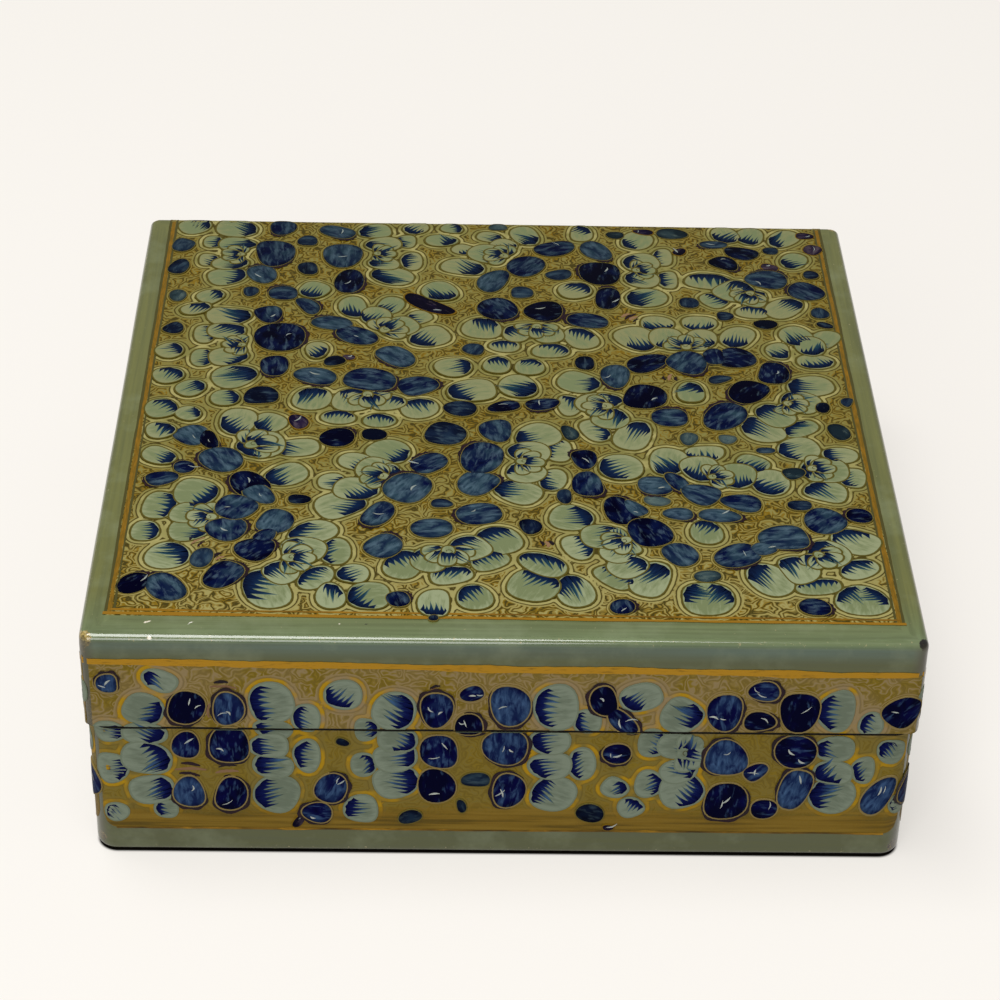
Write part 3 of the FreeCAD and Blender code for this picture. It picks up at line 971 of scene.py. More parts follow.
@dataclass(frozen=True)
class FlowerPainter:
    """Lays whole flowers: pale petals from the outside in, then the blue ovals and the hearts."""

    blanks: Blanks
    finishes: list[Material]  # in the order of Layer
    glints: tuple[int, int]  # fewest and most painted highlights on a blue oval

    FIRST_LIFT = 0.02
    STEP = 0.012
    HIGHEST_LIFT = 0.25
    PALE_DOME = 0.003
    LEAF_DOME = 0.03
    BLUE_DOME = 0.05
    NEAR = 18.0  # mm, how far away an oval still turns a comb

    def order(self, shapes: list[PetalShape]) -> list[PetalShape]:
        """Sort the petals of a flower.

        Args:
            shapes: the petals.

        Returns:
            The same from the lowest to the topmost.
        """
        blue = [s.stroke[1:3] for s in shapes if s.stroke[0] is Paint.BLUE]
        middle = np.mean(blue or [s.stroke[1:3] for s in shapes], axis=0)

        def rank(shape: PetalShape) -> tuple[int, float]:
            """Level of a petal's paint, then how near the flower's middle it lies."""
            paint, *place = shape.stroke[:3]
            return LEVEL[paint], 0.0 if paint is Paint.INNER else -math.dist(place, middle)

        return sorted(shapes, key=rank)

    def paint(self, name: str, shapes: list[PetalShape], face: Face, slate: float = 0.0) -> None:
        """Paint a bunch of petals as one piece.

        Args:
            name: the piece's name.
            shapes: its petals.
            face: the face that it lies on.
            slate: how much white is in the ovals' blue.
        """
        work = Brushwork(name, self.blanks, self.finishes)
        lift = self.FIRST_LIFT
        for shape in self.order(shapes):
            paint = shape.stroke[0]
            if paint in PALE_PETALS:
                self._lay_pale(work, shape, lift, self._lean(shape, shapes))
            elif paint is Paint.BLUE:
                self._lay_blue(work, shape, lift, slate)
            elif paint is Paint.HATCH:
                self._lay_hatch(work, shape, lift)
            else:
                work.lay_petal(shape, lift, self.LEAF_DOME, Layer[paint.name])
                if paint is Paint.MAROON:
                    # a painted highlight on the madder leaf
                    work.lay_glints(shape, lift, self.LEAF_DOME, 1)
            lift = min(lift + self.STEP, self.HIGHEST_LIFT)
        work.finish(face)

    def _lean(self, shape: PetalShape, shapes: list[PetalShape]) -> float:
        """Turn a petal's comb from its root towards the nearest blue oval.

        Args:
            shape: the petal.
            shapes: all petals of its flower.

        Returns:
            How far the comb turns, in radians.
        """
        draw = np.random.default_rng(shape.seed + 3)
        _, x, y, _, _, degrees = shape.stroke
        ways = [(s.stroke[1] - x, s.stroke[2] - y) for s in shapes if s.stroke[0] is Paint.BLUE]
        near = min(ways, key=lambda way: math.hypot(*way), default=(math.inf, 0))
        if math.hypot(*near) > self.NEAR:
            return draw.uniform(-0.7, 0.7)
        turn = math.atan2(near[1], near[0]) - math.radians(degrees) - math.pi
        turn = float(np.clip(math.remainder(turn, 2 * math.pi), -0.9, 0.9))
        return turn * draw.uniform(0.5, 1.0) + draw.uniform(-0.25, 0.25)

    def _lay_pale(self, work: Brushwork, shape: PetalShape, lift: float, lean: float) -> None:
        """Lay a pale petal with its blue comb or combs.

        Args:
            work: the brushwork that it joins.
            shape: the petal.
            lift: its height.
            lean: how far its comb turns towards the ovals.
        """
        work.lay_petal(shape, lift, self.PALE_DOME, Layer.PALE)
        top = lift + self.PALE_DOME
        draw = np.random.default_rng(shape.seed + 3)
        paint, combs = shape.stroke[0], []
        if paint is Paint.TWIN:
            combs = [(math.pi - 1.0, 0.75, 0.46), (math.pi + 1.0, 0.75, 0.46)]
        elif paint is Paint.HEART:
            self._lay_curl(work, shape, top + 0.004)
        elif paint is Paint.INNER:
            combs = [(math.pi + draw.uniform(-0.5, 0.5), 1.1, draw.uniform(0.72, 0.9))]
        else:
            narrow = shape.half_wide > shape.half_long * 1.1
            span = 1.35 if narrow else draw.uniform(0.9, 1.3)
            combs = [(math.pi + lean, span, draw.uniform(0.48, 0.68))]
        for about, span, deep in combs:
            work.lay_comb(shape, top + 0.004, about, span, deep * 1.12, Layer.FEATHER)
            work.lay_comb(shape, top + 0.008, about, span, deep, Layer.COMB)

    def _lay_curl(self, work: Brushwork, shape: PetalShape, lift: float) -> None:
        """Lay the fine spiral at a flower's heart.

        Args:
            work: the brushwork that it joins.
            shape: the heart.
            lift: its height.
        """
        t = np.linspace(0, 1, 15)
        turn, reach = 0.6 + t * 4.6, (1 - 0.75 * t) * 0.62
        along = shape.half_long * (0.25 + reach * np.cos(turn) * 0.7)
        path = np.stack([along, shape.half_wide * reach * np.sin(turn)], axis=1)
        work.lay_line(shape, path, 0.16, lift, Layer.INK)

    def _lay_hatch(self, work: Brushwork, shape: PetalShape, lift: float) -> None:
        """Lay ragged dark strokes side by side, with rosy ones between them.

        Args:
            work: the brushwork that they join.
            shape: the space that they fill.
            lift: their height.
        """
        draw = np.random.default_rng(shape.seed + 31)
        t = np.linspace(-1, 1, self.blanks.STROKE_STEPS + 1)
        rows = np.linspace(-1, 1, max(3, round(shape.half_wide * 2.6)))
        for n, row in enumerate(rows):
            reach = shape.half_long * math.sqrt(1 - 0.6 * row**2) * draw.uniform(0.6, 1.1)
            sway = draw.uniform(-0.3, 0.3) * t - 0.3 * t**2 + draw.normal(0, 0.04, len(t))
            along = t * reach + draw.uniform(-0.4, 0.4)
            path = np.stack([along, row * shape.half_wide + sway], axis=1)
            width = draw.uniform(0.45, 0.85) * np.clip(1.1 - np.abs(t), 0.1, 1) ** 0.4
            layer = Layer.BLUSH if n % 2 else Layer.CAP
            work.lay_line(shape, path, width, lift + self.STEP * n, layer, draw.random())

    def _lay_blue(self, work: Brushwork, shape: PetalShape, lift: float, slate: float) -> None:
        """Lay a domed blue oval with its dark crescent and its painted highlights.

        Args:
            work: the brushwork that it joins.
            shape: the oval.
            lift: its height.
            slate: how much white is in its blue.
        """
        draw = np.random.default_rng(shape.seed + 7)
        if draw.random() < 0.75:
            span = draw.uniform(0.6, 1.2) * (2.2 if self.glints[0] else 1.0)
            work.lay_cap(shape, lift - 0.01, draw.uniform(0, 6.28), span)
        work.lay_petal(shape, lift, self.BLUE_DOME, Layer.BLUE, slate)
        count = int(draw.integers(self.glints[0], self.glints[1] + 1))
        work.lay_glints(shape, lift, self.BLUE_DOME, count)


@dataclass(frozen=True)
class GroundPanel:
    """Gold and cream scrollwork between the flowers, a paint film over one field of a face."""

    name: str
    face: Face
    left: float
    right: float
    foot: float
    head: Pair
    corner: float = 0.0
    offset: float = 0.0  # shifts the scrolls, so that no two sides have the same
    pitch: float = 0.62
    thick: float = 0.12

    def build(self, bunches: list[list[PetalShape]], finish: Material) -> None:
        """Lay the film and tell it how far each place is from the petals.

        Args:
            bunches: the petals on this face.
            finish: the ground's material.
        """
        wide, high = self.right - self.left, max(self.head) - self.foot
        piece = start_piece(
            self.name, bpy.ops.mesh.primitive_grid_add, x_subdivisions=round(wide / self.pitch),
            y_subdivisions=round(high / self.pitch), size=1,
        )
        bpy.ops.mesh.region_to_loop()
        bpy.ops.mesh.extrude_edges_move(TRANSFORM_OT_translate={"value": (0, 0, -1)})
        bpy.ops.mesh.edge_face_add()
        leave_edit_mode()
        table = vertex_table(piece.data)
        s, t = table[:, 0] + 0.5, table[:, 1] + 0.5
        across = self.left + wide * s
        end = np.minimum(across - self.left, self.right - across)
        missing = np.clip(self.corner - end, 0, self.corner)
        low = self.foot + self.corner - np.sqrt(self.corner**2 - missing**2)
        top = self.head[0] + (self.head[1] - self.head[0]) * s
        up = low + (top - low) * t
        spots = np.stack([across, up], axis=1)
        for name, paints in (("pale_gap", PALE_PETALS), ("dark_gap", DARK_PETALS)):
            some = [petal for bunch in bunches for petal in bunch if petal.stroke[0] in paints]
            keep_float(piece.data, name, gap_to(spots, some))
        keep_brush(piece.data, spots + [self.offset, 0])
        flat = np.column_stack([spots, table[:, 2] * self.thick])
        piece.data.vertices.foreach_set("co", (self.face.place(flat) * MM).ravel())
        piece.data.materials.append(finish)
        smooth(piece)
        piece.data.update()
        join(piece, self.face.body)


# A place where the paint is knocked off: across, depth and height of its middle, its reach, how
# deep it goes (mm), and its tone, where 0 shows dark dirt, 0.5 tan pulp and 1 white gesso.
Chip = tuple[float, float, float, float, float, float]


@dataclass(frozen=True)
class PaintedSkin:
    """Gesso and sage paint round the lid or the base, rolled up from a sheet."""

    name: str
    body: str
    node: str
    plan: RoundedSquare
    rows: tuple[Pair, ...]
    edges: tuple[float, ...]
    chips: list[Chip]
    thick: float = 0.22

    END = 6.0  # mm of a side, next to a corner, where its columns are closer
    WORN_WIDTH = 0.9  # mm, how far the wear of an edge reaches

    def _columns(self) -> Array:
        """Divide one side.

        Returns:
            Places along it, closer together at its corners.
        """
        flat, arc = self.plan.flat, self.plan.radius * math.pi / 4
        middle = np.linspace(0, flat - self.END, 42, endpoint=False)
        end = np.linspace(flat - self.END, flat, 12, endpoint=False)
        half = np.concatenate([middle, end, np.linspace(flat, flat + arc, 6)])
        return np.concatenate([-half[:0:-1], half])[:-1]

    def _ring(self, along: Array, inset: float) -> tuple[Array, Array]:
        """Lay one side's places on the outline that lies inset inside the plan's.

        Args:
            along: places along the side.
            inset: how far inside.

        Returns:
            Places in plan and unit normals, for the front side.
        """
        radius = max(self.plan.radius - inset, 0.03)
        flat = self.plan.half - inset - radius
        sign = np.sign(along)
        turn = np.clip((np.abs(along) - self.plan.flat) / self.plan.radius, 0, math.pi / 4)
        share = np.clip(along / self.plan.flat, -1, 1)
        x = share * flat + sign * radius * np.sin(turn)
        y = -(flat + radius * np.cos(turn))
        return np.stack([x, y], axis=1), np.stack([sign * np.sin(turn), -np.cos(turn)], axis=1)

    def build(self, finish: Material, raw: Material) -> None:
        """Roll the sheet, close its middle, knock its chips out and give it its thickness.

        Args:
            finish: the paint.
            raw: the near-black band along the seam, on the raw paper edge and the walls either side
                of it: painted shade of the gap and of the lid's overhang.
        """
        along = self._columns()
        columns, rows = 4 * len(along), len(self.rows)
        add = bpy.ops.mesh.primitive_grid_add
        piece = start_piece(self.name, add, x_subdivisions=columns, y_subdivisions=rows - 1, size=1)
        bpy.ops.object.mode_set(mode="OBJECT")
        table = vertex_table(piece.data)
        column = np.rint((table[:, 0] + 0.5) * columns).astype(int)
        row = np.rint((table[:, 1] + 0.5) * (rows - 1)).astype(int)
        places, outward = self._shape(along, column % columns, row)
        steps = np.hypot(*np.diff(np.array(self.rows), axis=0).T)
        travel = np.concatenate([[0.0], np.cumsum(steps)])[row]
        keep_brush(piece.data, np.stack([column / len(along) * self.plan.side, travel], axis=1))
        bare, tone = self._wear(places)
        places -= outward * (np.clip(bare, 0, 1) * tone[:, 1])[:, None]
        keep_float(piece.data, "bare", bare)
        keep_float(piece.data, "bare_tone", tone[:, 0])
        height = np.array([z for _, z in self.rows])[row]
        near = np.min([np.abs(height - edge) for edge in self.edges], axis=0)
        keep_float(piece.data, "worn", np.exp(-((near / self.WORN_WIDTH) ** 2)))
        piece.data.vertices.foreach_set("co", (places * MM).ravel())
        piece.data.materials.append(finish)
        piece.data.materials.append(raw)
        # Faces next to the seam take the near-black finish: painted shade of the gap and of the
        # lid's overhang.
        for face in piece.data.polygons:
            face.material_index = int(min(row[v] for v in face.vertices) < 3)
        self._close(piece)
        gesso = piece.modifiers.new("gesso", "SOLIDIFY")
        gesso.thickness = self.thick * MM
        gesso.offset = -1
        pick(piece)
        bpy.ops.object.modifier_apply(modifier=gesso.name)
        smooth(piece)
        join(piece, self.body)
        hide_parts(self.node)

    def _shape(self, along: Array, column: Array, row: Array) -> tuple[Array, Array]:
        """Place every point of the sheet on the box.

        Args:
            along: places along one side.
            column: each point's column round the box.
            row: each point's row up the profile.

        Returns:
            Places in mm and outward normals.
        """
        places, outward = np.zeros((len(row), 3)), np.zeros((len(row), 3))
        profile = np.array(self.rows)
        slope = np.gradient(profile, axis=0)
        for level, (inset, z) in enumerate(self.rows):
            ring, normals = self._ring(along, inset)
            rise = np.array([slope[level, 1], -slope[level, 0]])
            rise = rise / np.hypot(*rise) * (1 if self.rows[-1][1] > self.rows[0][1] else -1)
            for quarter in range(4):
                spot = turned(ring, quarter)
                way = turned(normals, quarter)
                here = np.flatnonzero((row == level) & (column // len(along) == quarter))
                step = column[here] % len(along)
                places[here] = np.column_stack([spot[step], np.full(len(here), z)])
                outward[here] = np.column_stack([way[step] * rise[0], np.full(len(here), -rise[1])])
        places += outward * unevenness(places)[:, None]
        return places, outward

    def _wear(self, places: Array) -> tuple[Array, Array]:
        """Tell each point how deep it lies in a chip.

        Args:
            places: the points in mm.

        Returns:
            Depth into the nearest chip, from 1 in its middle to below 0 outside, and one row
            per point with the chip's tone and depth.
        """
        bare = np.full(len(places), -1.0)
        tone = np.tile([0.5, 0.0], (len(places), 1))
        for *middle, reach, depth, stuff in self.chips:
            share = 1 - np.linalg.norm(places - middle, axis=1) / reach
            nearer = share > bare
            bare[nearer] = share[nearer]
            tone[nearer] = [stuff, depth]
        return bare, tone

    def _close(self, piece: Object) -> None:
        """Join the sheet's ends and fill the hole in the middle of its last ring.

        Args:
            piece: the sheet.
        """
        pick(piece)
        bpy.ops.object.mode_set(mode="EDIT")
        bpy.ops.mesh.select_all(action="SELECT")
        bpy.ops.mesh.remove_doubles(threshold=0.002 * MM)
        bpy.ops.mesh.select_all(action="DESELECT")
        mesh = bmesh.from_edit_mesh(piece.data)
        last = self.rows[-1]
        for edge in mesh.edges:
            middle = (edge.verts[0].co + edge.verts[1].co) / 2
            on_last = abs(middle.z / MM - last[1]) < 0.6
            inner = max(abs(middle.x), abs(middle.y)) / MM < self.plan.half - last[0] + 0.3
            edge.select_set(edge.is_boundary and on_last and inner)
        bmesh.update_edit_mesh(piece.data)
        bpy.ops.mesh.edge_face_add()
        leave_edit_mode()


class Sheet:
    """The nodes of one material."""

    # The output that is mostly wanted, and settings: a mix here is one of colours. Math adds.
    USUAL = {"Mix": (2, {"data_type": "RGBA"}), "Attribute": (2, {}), "TexCoord": (3, {})}

    def __init__(self, name: str) -> None:
        """Start an empty material.

        Args:
            name: what the real material is and how its surface was made.
        """
        self.material = bpy.data.materials.new(name)
        self.material.use_nodes = True
        self.tree = self.material.node_tree
        self.tree.nodes.clear()

    def add(
        self, kind: str, inputs: list | dict | None = None, out: int | None = None,
        **settings: object,
    ) -> NodeSocket:
        """Add a node.

        Args:
            kind: the node's type.
            inputs: a value, hex colour or socket for each input, in order or by name or number.
            out: which output to return, if not the usual one.
            settings: the node's properties; stops are the positions and hex colours of a ramp.

        Returns:
            The node's output, or its first input where it has none.
        """
        usual_out, usual = self.USUAL.get(kind, (0, {}))
        node = self.tree.nodes.new("ShaderNode" + kind)
        stops = settings.pop("stops", ())
        if stops:
            ramp = node.color_ramp.elements
            while len(ramp) < len(stops):
                ramp.new(1.0)
            for element, (position, colour) in zip(ramp, stops):
                element.position, element.color = position, linear(colour)
        for name, value in {**usual, **settings}.items():
            setattr(node, name, value)
        pairs = inputs.items() if isinstance(inputs, dict) else enumerate(inputs or ())
        for key, value in pairs:
            if isinstance(value, NodeSocket):
                self.tree.links.new(value, node.inputs[key])
            else:
                node.inputs[key].default_value = linear(value) if isinstance(value, str) else value
        return node.outputs[usual_out if out is None else out] if node.outputs else node.inputs[0]

    def millimetres(self, stretch: Triple = (1, 1, 1)) -> NodeSocket:
        """Object coordinates in mm, stretched along the axes."""
        scale = tuple(s / MM for s in stretch)
        return self.add("Mapping", {"Vector": self.add("TexCoord"), "Scale": scale})

    def brush(self, stretch: Triple) -> NodeSocket:
        """Coordinates along and across the brush stroke in mm, stretched."""
        where = self.add("UVMap", uv_map="Brush")
        return self.add("Mapping", {"Vector": where, "Scale": stretch})

    def darkened_to_back(self, colour: NodeSocket) -> NodeSocket:
        """Darken a colour towards the back of the box.

        Args:
            colour: the colour.

        Returns:
            The browned colour.
        """
        depth = self.add("SeparateXYZ", [self.millimetres()], 1)
        share = self.add("MapRange", [depth, -30.0, 60.0, 0.0, 0.26])
        return self.add("Mix", {0: share, 6: colour, 7: "#14160E"})


@dataclass(frozen=True)
class Varnish:
    """Copal varnish over paint: a clear, thin, brushed coat with a soft shine."""

    roughness: float = 0.42
    specular: float = 0.25
    coat: float = 0.35
    coat_roughness: float = 0.12
    relief: float = 0.02  # mm

    def cover(self, sheet: Sheet, colour: NodeSocket, height: NodeSocket) -> Material:
        """Finish a material with this varnish over a colour.

        Args:
            sheet: the material's nodes.
            colour: the paint's colour.
            height: the paint's relief, from 0 to 1.

        Returns:
            The finished material.
        """
        add = sheet.add
        bump = add("Bump", {"Height": height, "Distance": self.relief * MM})
        shader = add(
            "BsdfPrincipled",
            {"Roughness": self.roughness, "Specular IOR Level": self.specular, "IOR": 1.5,
             "Coat Weight": self.coat, "Coat Roughness": self.coat_roughness, "Coat IOR": 1.6,
             "Base Color": colour, "Normal": bump},
        )
        add("OutputMaterial", [shader])
        return sheet.material


@dataclass(frozen=True)
class SagePaint:
    """Sage green distemper on gesso, brushed along the bands and varnished."""

    front: str = "#6C7B52"
    side: str = "#6C6E36"
    # bluish grey just below the lid's ridge: the sage with a painted reflection in the varnish
    wall: str = "#516655"
    foot: str = "#4A5014"
    dark: str = "#444C28"
    pale: str = "#8F9A78"
    varnish: Varnish = Varnish(0.36, coat=1.0, coat_roughness=0.05, relief=0.012)

    def make(self) -> Material:
        """Make the material, which reads the skin's brush map, chips and worn edges.

        Returns:
            The material.
        """
        sheet = Sheet("sage distemper, brushed and varnished")
        add = sheet.add
        mm = sheet.millimetres()
        across, depth, height = (add("SeparateXYZ", [mm], axis) for axis in range(3))
        back = add("MapRange", [depth, -74.0, -62.0])
        tone = add("Mix", {0: back, 6: self.front, 7: self.side})
        # Below the ridge the sage turns bluish grey, a painted reflection in the varnish; from 48.5
        # mm down to 46 mm it turns to the olive of the foot.
        upright = add("MapRange", [height, 50.2, 49.2])
        lower = add("MapRange", [height, 48.5, 46.0])
        streaks = add(
            "TexNoise",
            {"Vector": sheet.brush((0.03, 0.8, 1)), "Scale": 1.0, "Detail": 4.0, "Roughness": 0.6},
        )
        clouds = add("TexNoise", {"Vector": mm, "Scale": 0.09, "Detail": 4.0, "Roughness": 0.62})
        low = add("MapRange", [streaks, 0.38, 0.7, 0.0, 0.55])
        high = add("MapRange", [clouds, 0.5, 0.8, 0.0, 0.4])
        grit = add("TexNoise", {"Vector": mm, "Scale": 1.6, "Detail": 3.0, "Roughness": 0.7})
        worn = add("Attribute", attribute_name="worn")
        rub = add("Math", [worn, 0.23, grit], operation="MULTIPLY_ADD")
        rub = add("MapRange", [rub, 0.86, 0.90])
        bare = add("Attribute", attribute_name="bare")
        bare = add("Math", [grit, 0.9, bare], operation="MULTIPLY_ADD")
        bare = add("MapRange", [bare, 0.52, 0.6])
        kind = add("Attribute", attribute_name="bare_tone")
        fibres = add("TexNoise", {"Vector": mm, "Scale": 2.6})
        fibres = add("MapRange", [fibres, 0.0, 1.0, -0.55, 0.5])
        kind = add("Math", [kind, fibres])
        stops = [(0.1, "#15120C"), (0.3, "#4E4226"), (0.55, "#B09850"), (1.0, "#F2EFE2")]
        under = add("ValToRGB", [kind], stops=stops)
        ends = [add("Math", [place], operation="ABSOLUTE") for place in (across, depth)]
        end = add("Math", [ends[0], ends[1]], operation="MINIMUM")
        end = add("MapRange", [end, 72.6, 74.4, 0.0, 0.85])
        end = add("Math", [end, upright], operation="MULTIPLY")
        for share, colour in (
            (upright, self.wall), (lower, self.foot), (low, self.dark), (high, self.pale),
            (rub, "#A79C72"), (bare, under), (end, "#46422A"),
        ):
            tone = add("Mix", {0: share, 6: tone, 7: colour})
        # Near black at the very bottom: the black underside, and a painted contact shadow that
        # climbs the foot's rounding, higher towards the right.
        lean = add("MapRange", [across, 0.0, 70.0, 0.0, -0.45])
        foot = add("Math", [height, lean])
        foot = add("MapRange", [foot, 0.62, 0.8])
        tone = add("Mix", {0: foot, 6: "#0C0A06", 7: tone})
        return self.varnish.cover(sheet, tone, streaks)


@dataclass(frozen=True)
class GroundPaint:
    """Cream scrolls in distemper over shell gold, drawn round with a fine olive line."""

    name: str = "cream scrollwork on shell gold, varnished"
    cream: str = "#A29A60"
    # greyer and darker towards the back of the top, painted as the haze of the varnish's reflection
    far_cream: str = "#7E7A42"
    gold: str = "#7C620A"
    ring: str = "#A29A60"  # between a petal and the first line round it, in places
    olive: str = "#423806"
    echo: float = 0.85  # mm between the lines that follow a pale petal
    rings: float = 1.65  # how many such lines there are
    dark_echo: float = 0.55
    cells: float = 0.25  # scrolls per mm
    low_cream: str = "#7E6E30"  # on the base's walls
    strength: float = 1.0  # of the lines
    varnish: Varnish = Varnish(0.5, 0.1, coat=0.15, coat_roughness=0.2, relief=0.03)

    def make(self) -> Material:
        """Make the material, which reads how far each place is from the petals.

        Returns:
            The material.
        """
        sheet = Sheet(self.name)
        add = sheet.add
        mm = sheet.millimetres()
        depth = add("SeparateXYZ", [mm], 1)
        back = add("MapRange", [depth, -72.0, -20.0])
        flat = sheet.brush((1, 1, 1))
        bend = add("TexNoise", {"Vector": flat, "Scale": 0.4, "Detail": 1.0}, 1)
        bent = add("VectorMath", [bend, (4.5, 4.5, 0.0), flat], operation="MULTIPLY_ADD")
        cells = add(
            "TexVoronoi",
            {"Vector": bent, "Scale": self.cells},
            voronoi_dimensions="2D",
            feature="DISTANCE_TO_EDGE",
        )
        wander = add("TexNoise", {"Vector": flat, "Scale": 0.3, "Detail": 0.0})
        shake = add("TexNoise", {"Vector": mm, "Scale": 0.9})
        tremble = add("MapRange", [shake, 0.0, 1.0, -0.14, 0.14])
        patches = add("TexNoise", {"Vector": mm, "Scale": 0.16, "Roughness": 0.6})
        gaps = []
        for name in ("pale_gap", "dark_gap"):
            gap = add("Attribute", attribute_name=name)
            gaps.append(add("Math", [gap, tremble]))
        scroll = add("Math", [cells, self.cells * 1.05], operation="DIVIDE")
        scroll = add("Math", [wander, 1.6, scroll], operation="MULTIPLY_ADD")
        follow = (gaps[1], self.dark_echo, 1.05), (gaps[0], self.echo, self.rings)
        for gap, pitch, lines in follow:
            echo = add("Math", [gap, pitch], operation="DIVIDE")
            close = add("Math", [echo, lines], operation="LESS_THAN")
            scroll = add("Mix", {0: close, 2: scroll, 3: echo}, out=0, data_type="FLOAT")
        first = add("Math", [echo, 1.0], operation="LESS_THAN")
        scroll = add("Math", [scroll, 0.5], operation="PINGPONG")
        # painted haze of the varnish's reflection: the cream greys towards the back
        cream = add("Mix", {0: back, 6: self.cream, 7: self.far_cream})
        height = add("SeparateXYZ", [mm], 2)
        base = add("MapRange", [height, 31.0, 29.0])
        cream = add("Mix", {0: base, 6: cream, 7: self.low_cream})
        wash = add("MapRange", [patches, 0.44, 0.58])
        away = add("MapRange", [echo, 0.9, 1.7, 0.15])
        thick = add("MapRange", [shake, 0.0, 1.0, -0.05, 0.04])
        pen = add("Math", [scroll, thick])
        curl = add("MapRange", [pen, 0.42, 0.30, 0.2])
        gilt = add("Math", [wash, 0.4, 0.6], operation="MULTIPLY_ADD")
        gilt = add("Math", [gilt, curl], operation="MULTIPLY")
        gilt = add("Math", [gilt, away], operation="MULTIPLY")
        tone = add("Mix", {0: gilt, 6: cream, 7: self.gold})
        first = add("Math", [first, wash], operation="MULTIPLY")
        tone = add("Mix", {0: first, 6: tone, 7: self.ring})
        line = add("MapRange", [pen, 0.08, 0.22, 1 - self.strength])
        tone = add("Mix", {0: line, 6: self.olive, 7: tone})
        streak = add(
            "TexNoise",
            {"Vector": sheet.millimetres((0.05, 0.05, 1.3)), "Scale": 1.0, "Detail": 3.0},
        )
        low = add("MapRange", [height, 15.0, 6.0])
        low = add("Math", [low, streak])
        low = add("MapRange", [low, 0.72, 1.1, 0.0, 0.92])
        bronze = add(
            "ValToRGB", [streak], stops=[(0.36, "#5C480C"), (0.5, "#7E6216"), (0.66, "#8A6E22")]
        )
        tone = add("Mix", {0: low, 6: tone, 7: bronze})
        return self.varnish.cover(sheet, tone, scroll)


@dataclass(frozen=True)
class PetalPaint:
    """Distemper laid in one loaded stroke, streaked along the petal, with a line at its rim."""

    name: str
    light: str
    shade: str
    rim: str
    rim_width: float
    streak: Pair = (0.35, 2.4)
    # greyer towards the back of the top, painted as the haze of the varnish's reflection
    far_light: str | None = None
    varnish: Varnish = Varnish(0.4, 0.1, coat=0.15, coat_roughness=0.1)

    def make(self) -> Material:
        """Make the material, which reads the petal's brush map, rim and tone.

        Returns:
            The material.
        """
        sheet = Sheet(self.name)
        add = sheet.add
        streaks = add(
            "TexNoise",
            {"Vector": sheet.brush((*self.streak, 1)), "Scale": 1.0, "Detail": 3.0,
             "Roughness": 0.6},
        )
        tone = add("Attribute", attribute_name="tone")
        lean = add("MapRange", [tone, 0.0, 1.0, -0.16, 0.16])
        wet = add("Math", [streaks, lean])
        rim = add("Attribute", attribute_name="rim")
        inner = add("MapRange", [rim, 0.3, 1.6, -0.12, 0.08])
        wet = add("Math", [wet, inner])
        wet = add("MapRange", [wet, 0.36, 0.66])
        light = self.light
        # painted haze of the varnish's reflection: the petal greys towards the back
        if self.far_light:
            depth = add("SeparateXYZ", [sheet.millimetres()], 1)
            back = add("MapRange", [depth, -70.0, 20.0])
            light = add("Mix", {0: back, 6: light, 7: self.far_light})
        colour = add("Mix", {0: wet, 6: light, 7: self.shade})
        edge = add("MapRange", [rim, self.rim_width, self.rim_width + 0.1])
        colour = add("Mix", {0: edge, 6: self.rim, 7: colour})
        return self.varnish.cover(sheet, colour, streaks)


@dataclass(frozen=True)
class BluePaint:
    """Indigo with ultramarine and lead white worked through it while wet, under clear varnish."""

    name: str
    deep: str = "#000016"
    navy: str = "#040E34"
    slate: str = "#263C4A"
    drag: str = "#566C7A"
    ring: str = "#6E6430"
    ring_width: float = 0.10
    varnish: Varnish = Varnish(0.35, 0.01, coat=0.03, coat_roughness=0.05)

    def make(self) -> Material:
        """Make the material, which reads the petal's brush map, rim and tone.

        Returns:
            The material.
        """
        sheet = Sheet(self.name)
        add = sheet.add
        streaks = add(
            "TexNoise",
            {"Vector": sheet.brush((0.32, 1.0, 1)), "Scale": 1.0, "Detail": 4.0, "Roughness": 0.6,
             "Distortion": 0.5},
        )
        pools = add(
            "TexNoise", {"Vector": sheet.brush((0.22, 0.3, 1)), "Scale": 1.0, "Distortion": 0.6}
        )
        tone = add("Attribute", attribute_name="tone")
        body = add("Math", [tone, 0.5, pools], operation="MULTIPLY_ADD")
        body = add("MapRange", [body, 0.4, 1.15])
        colour = add(
            "ValToRGB", [body], stops=[(0.12, self.deep), (0.45, self.navy), (0.85, self.slate)]
        )
        wet = add("Math", [body, 0.22, streaks], operation="MULTIPLY_ADD")
        wet = add("MapRange", [wet, 0.60, 0.88, 0.0, 0.75])
        colour = add("Mix", {0: wet, 6: colour, 7: self.drag})
        rim = add("Attribute", attribute_name="rim")
        for low, high, least, edge in (
            (0.1, 0.9, 0.4, "#00010C"), (self.ring_width, self.ring_width + 0.06, 0.0, self.ring),
        ):
            share = add("MapRange", [rim, low, high, least])
            colour = add("Mix", {0: share, 6: edge, 7: colour})
        return self.varnish.cover(sheet, sheet.darkened_to_back(colour), streaks)


@dataclass(frozen=True)
class CombPaint:
    """Indigo drawn out by a dry brush: dark at the root and paler towards the teeth."""

    name: str
    root: str = "#060A20"
    middle: str = "#0E2140"
    tips: str = "#22424E"
    varnish: Varnish = Varnish(0.4, 0.01, coat=0.03)

    def make(self) -> Material:
        """Make the material, which reads how far along its teeth each place is.

        Returns:
            The material.
        """
        sheet = Sheet(self.name)
        add = sheet.add
        streaks = add("TexNoise", {"Vector": sheet.brush((0.4, 3.2, 1)), "Scale": 1.0})
        along = add("Attribute", attribute_name="rim")
        lean = add("MapRange", [streaks, 0.0, 1.0, -0.35, 0.45])
        along = add("Math", [along, lean])
        colour = add(
            "ValToRGB", [along], stops=[(0.0, self.root), (0.4, self.middle), (0.85, self.tips)]
        )
        return self.varnish.cover(sheet, sheet.darkened_to_back(colour), streaks)


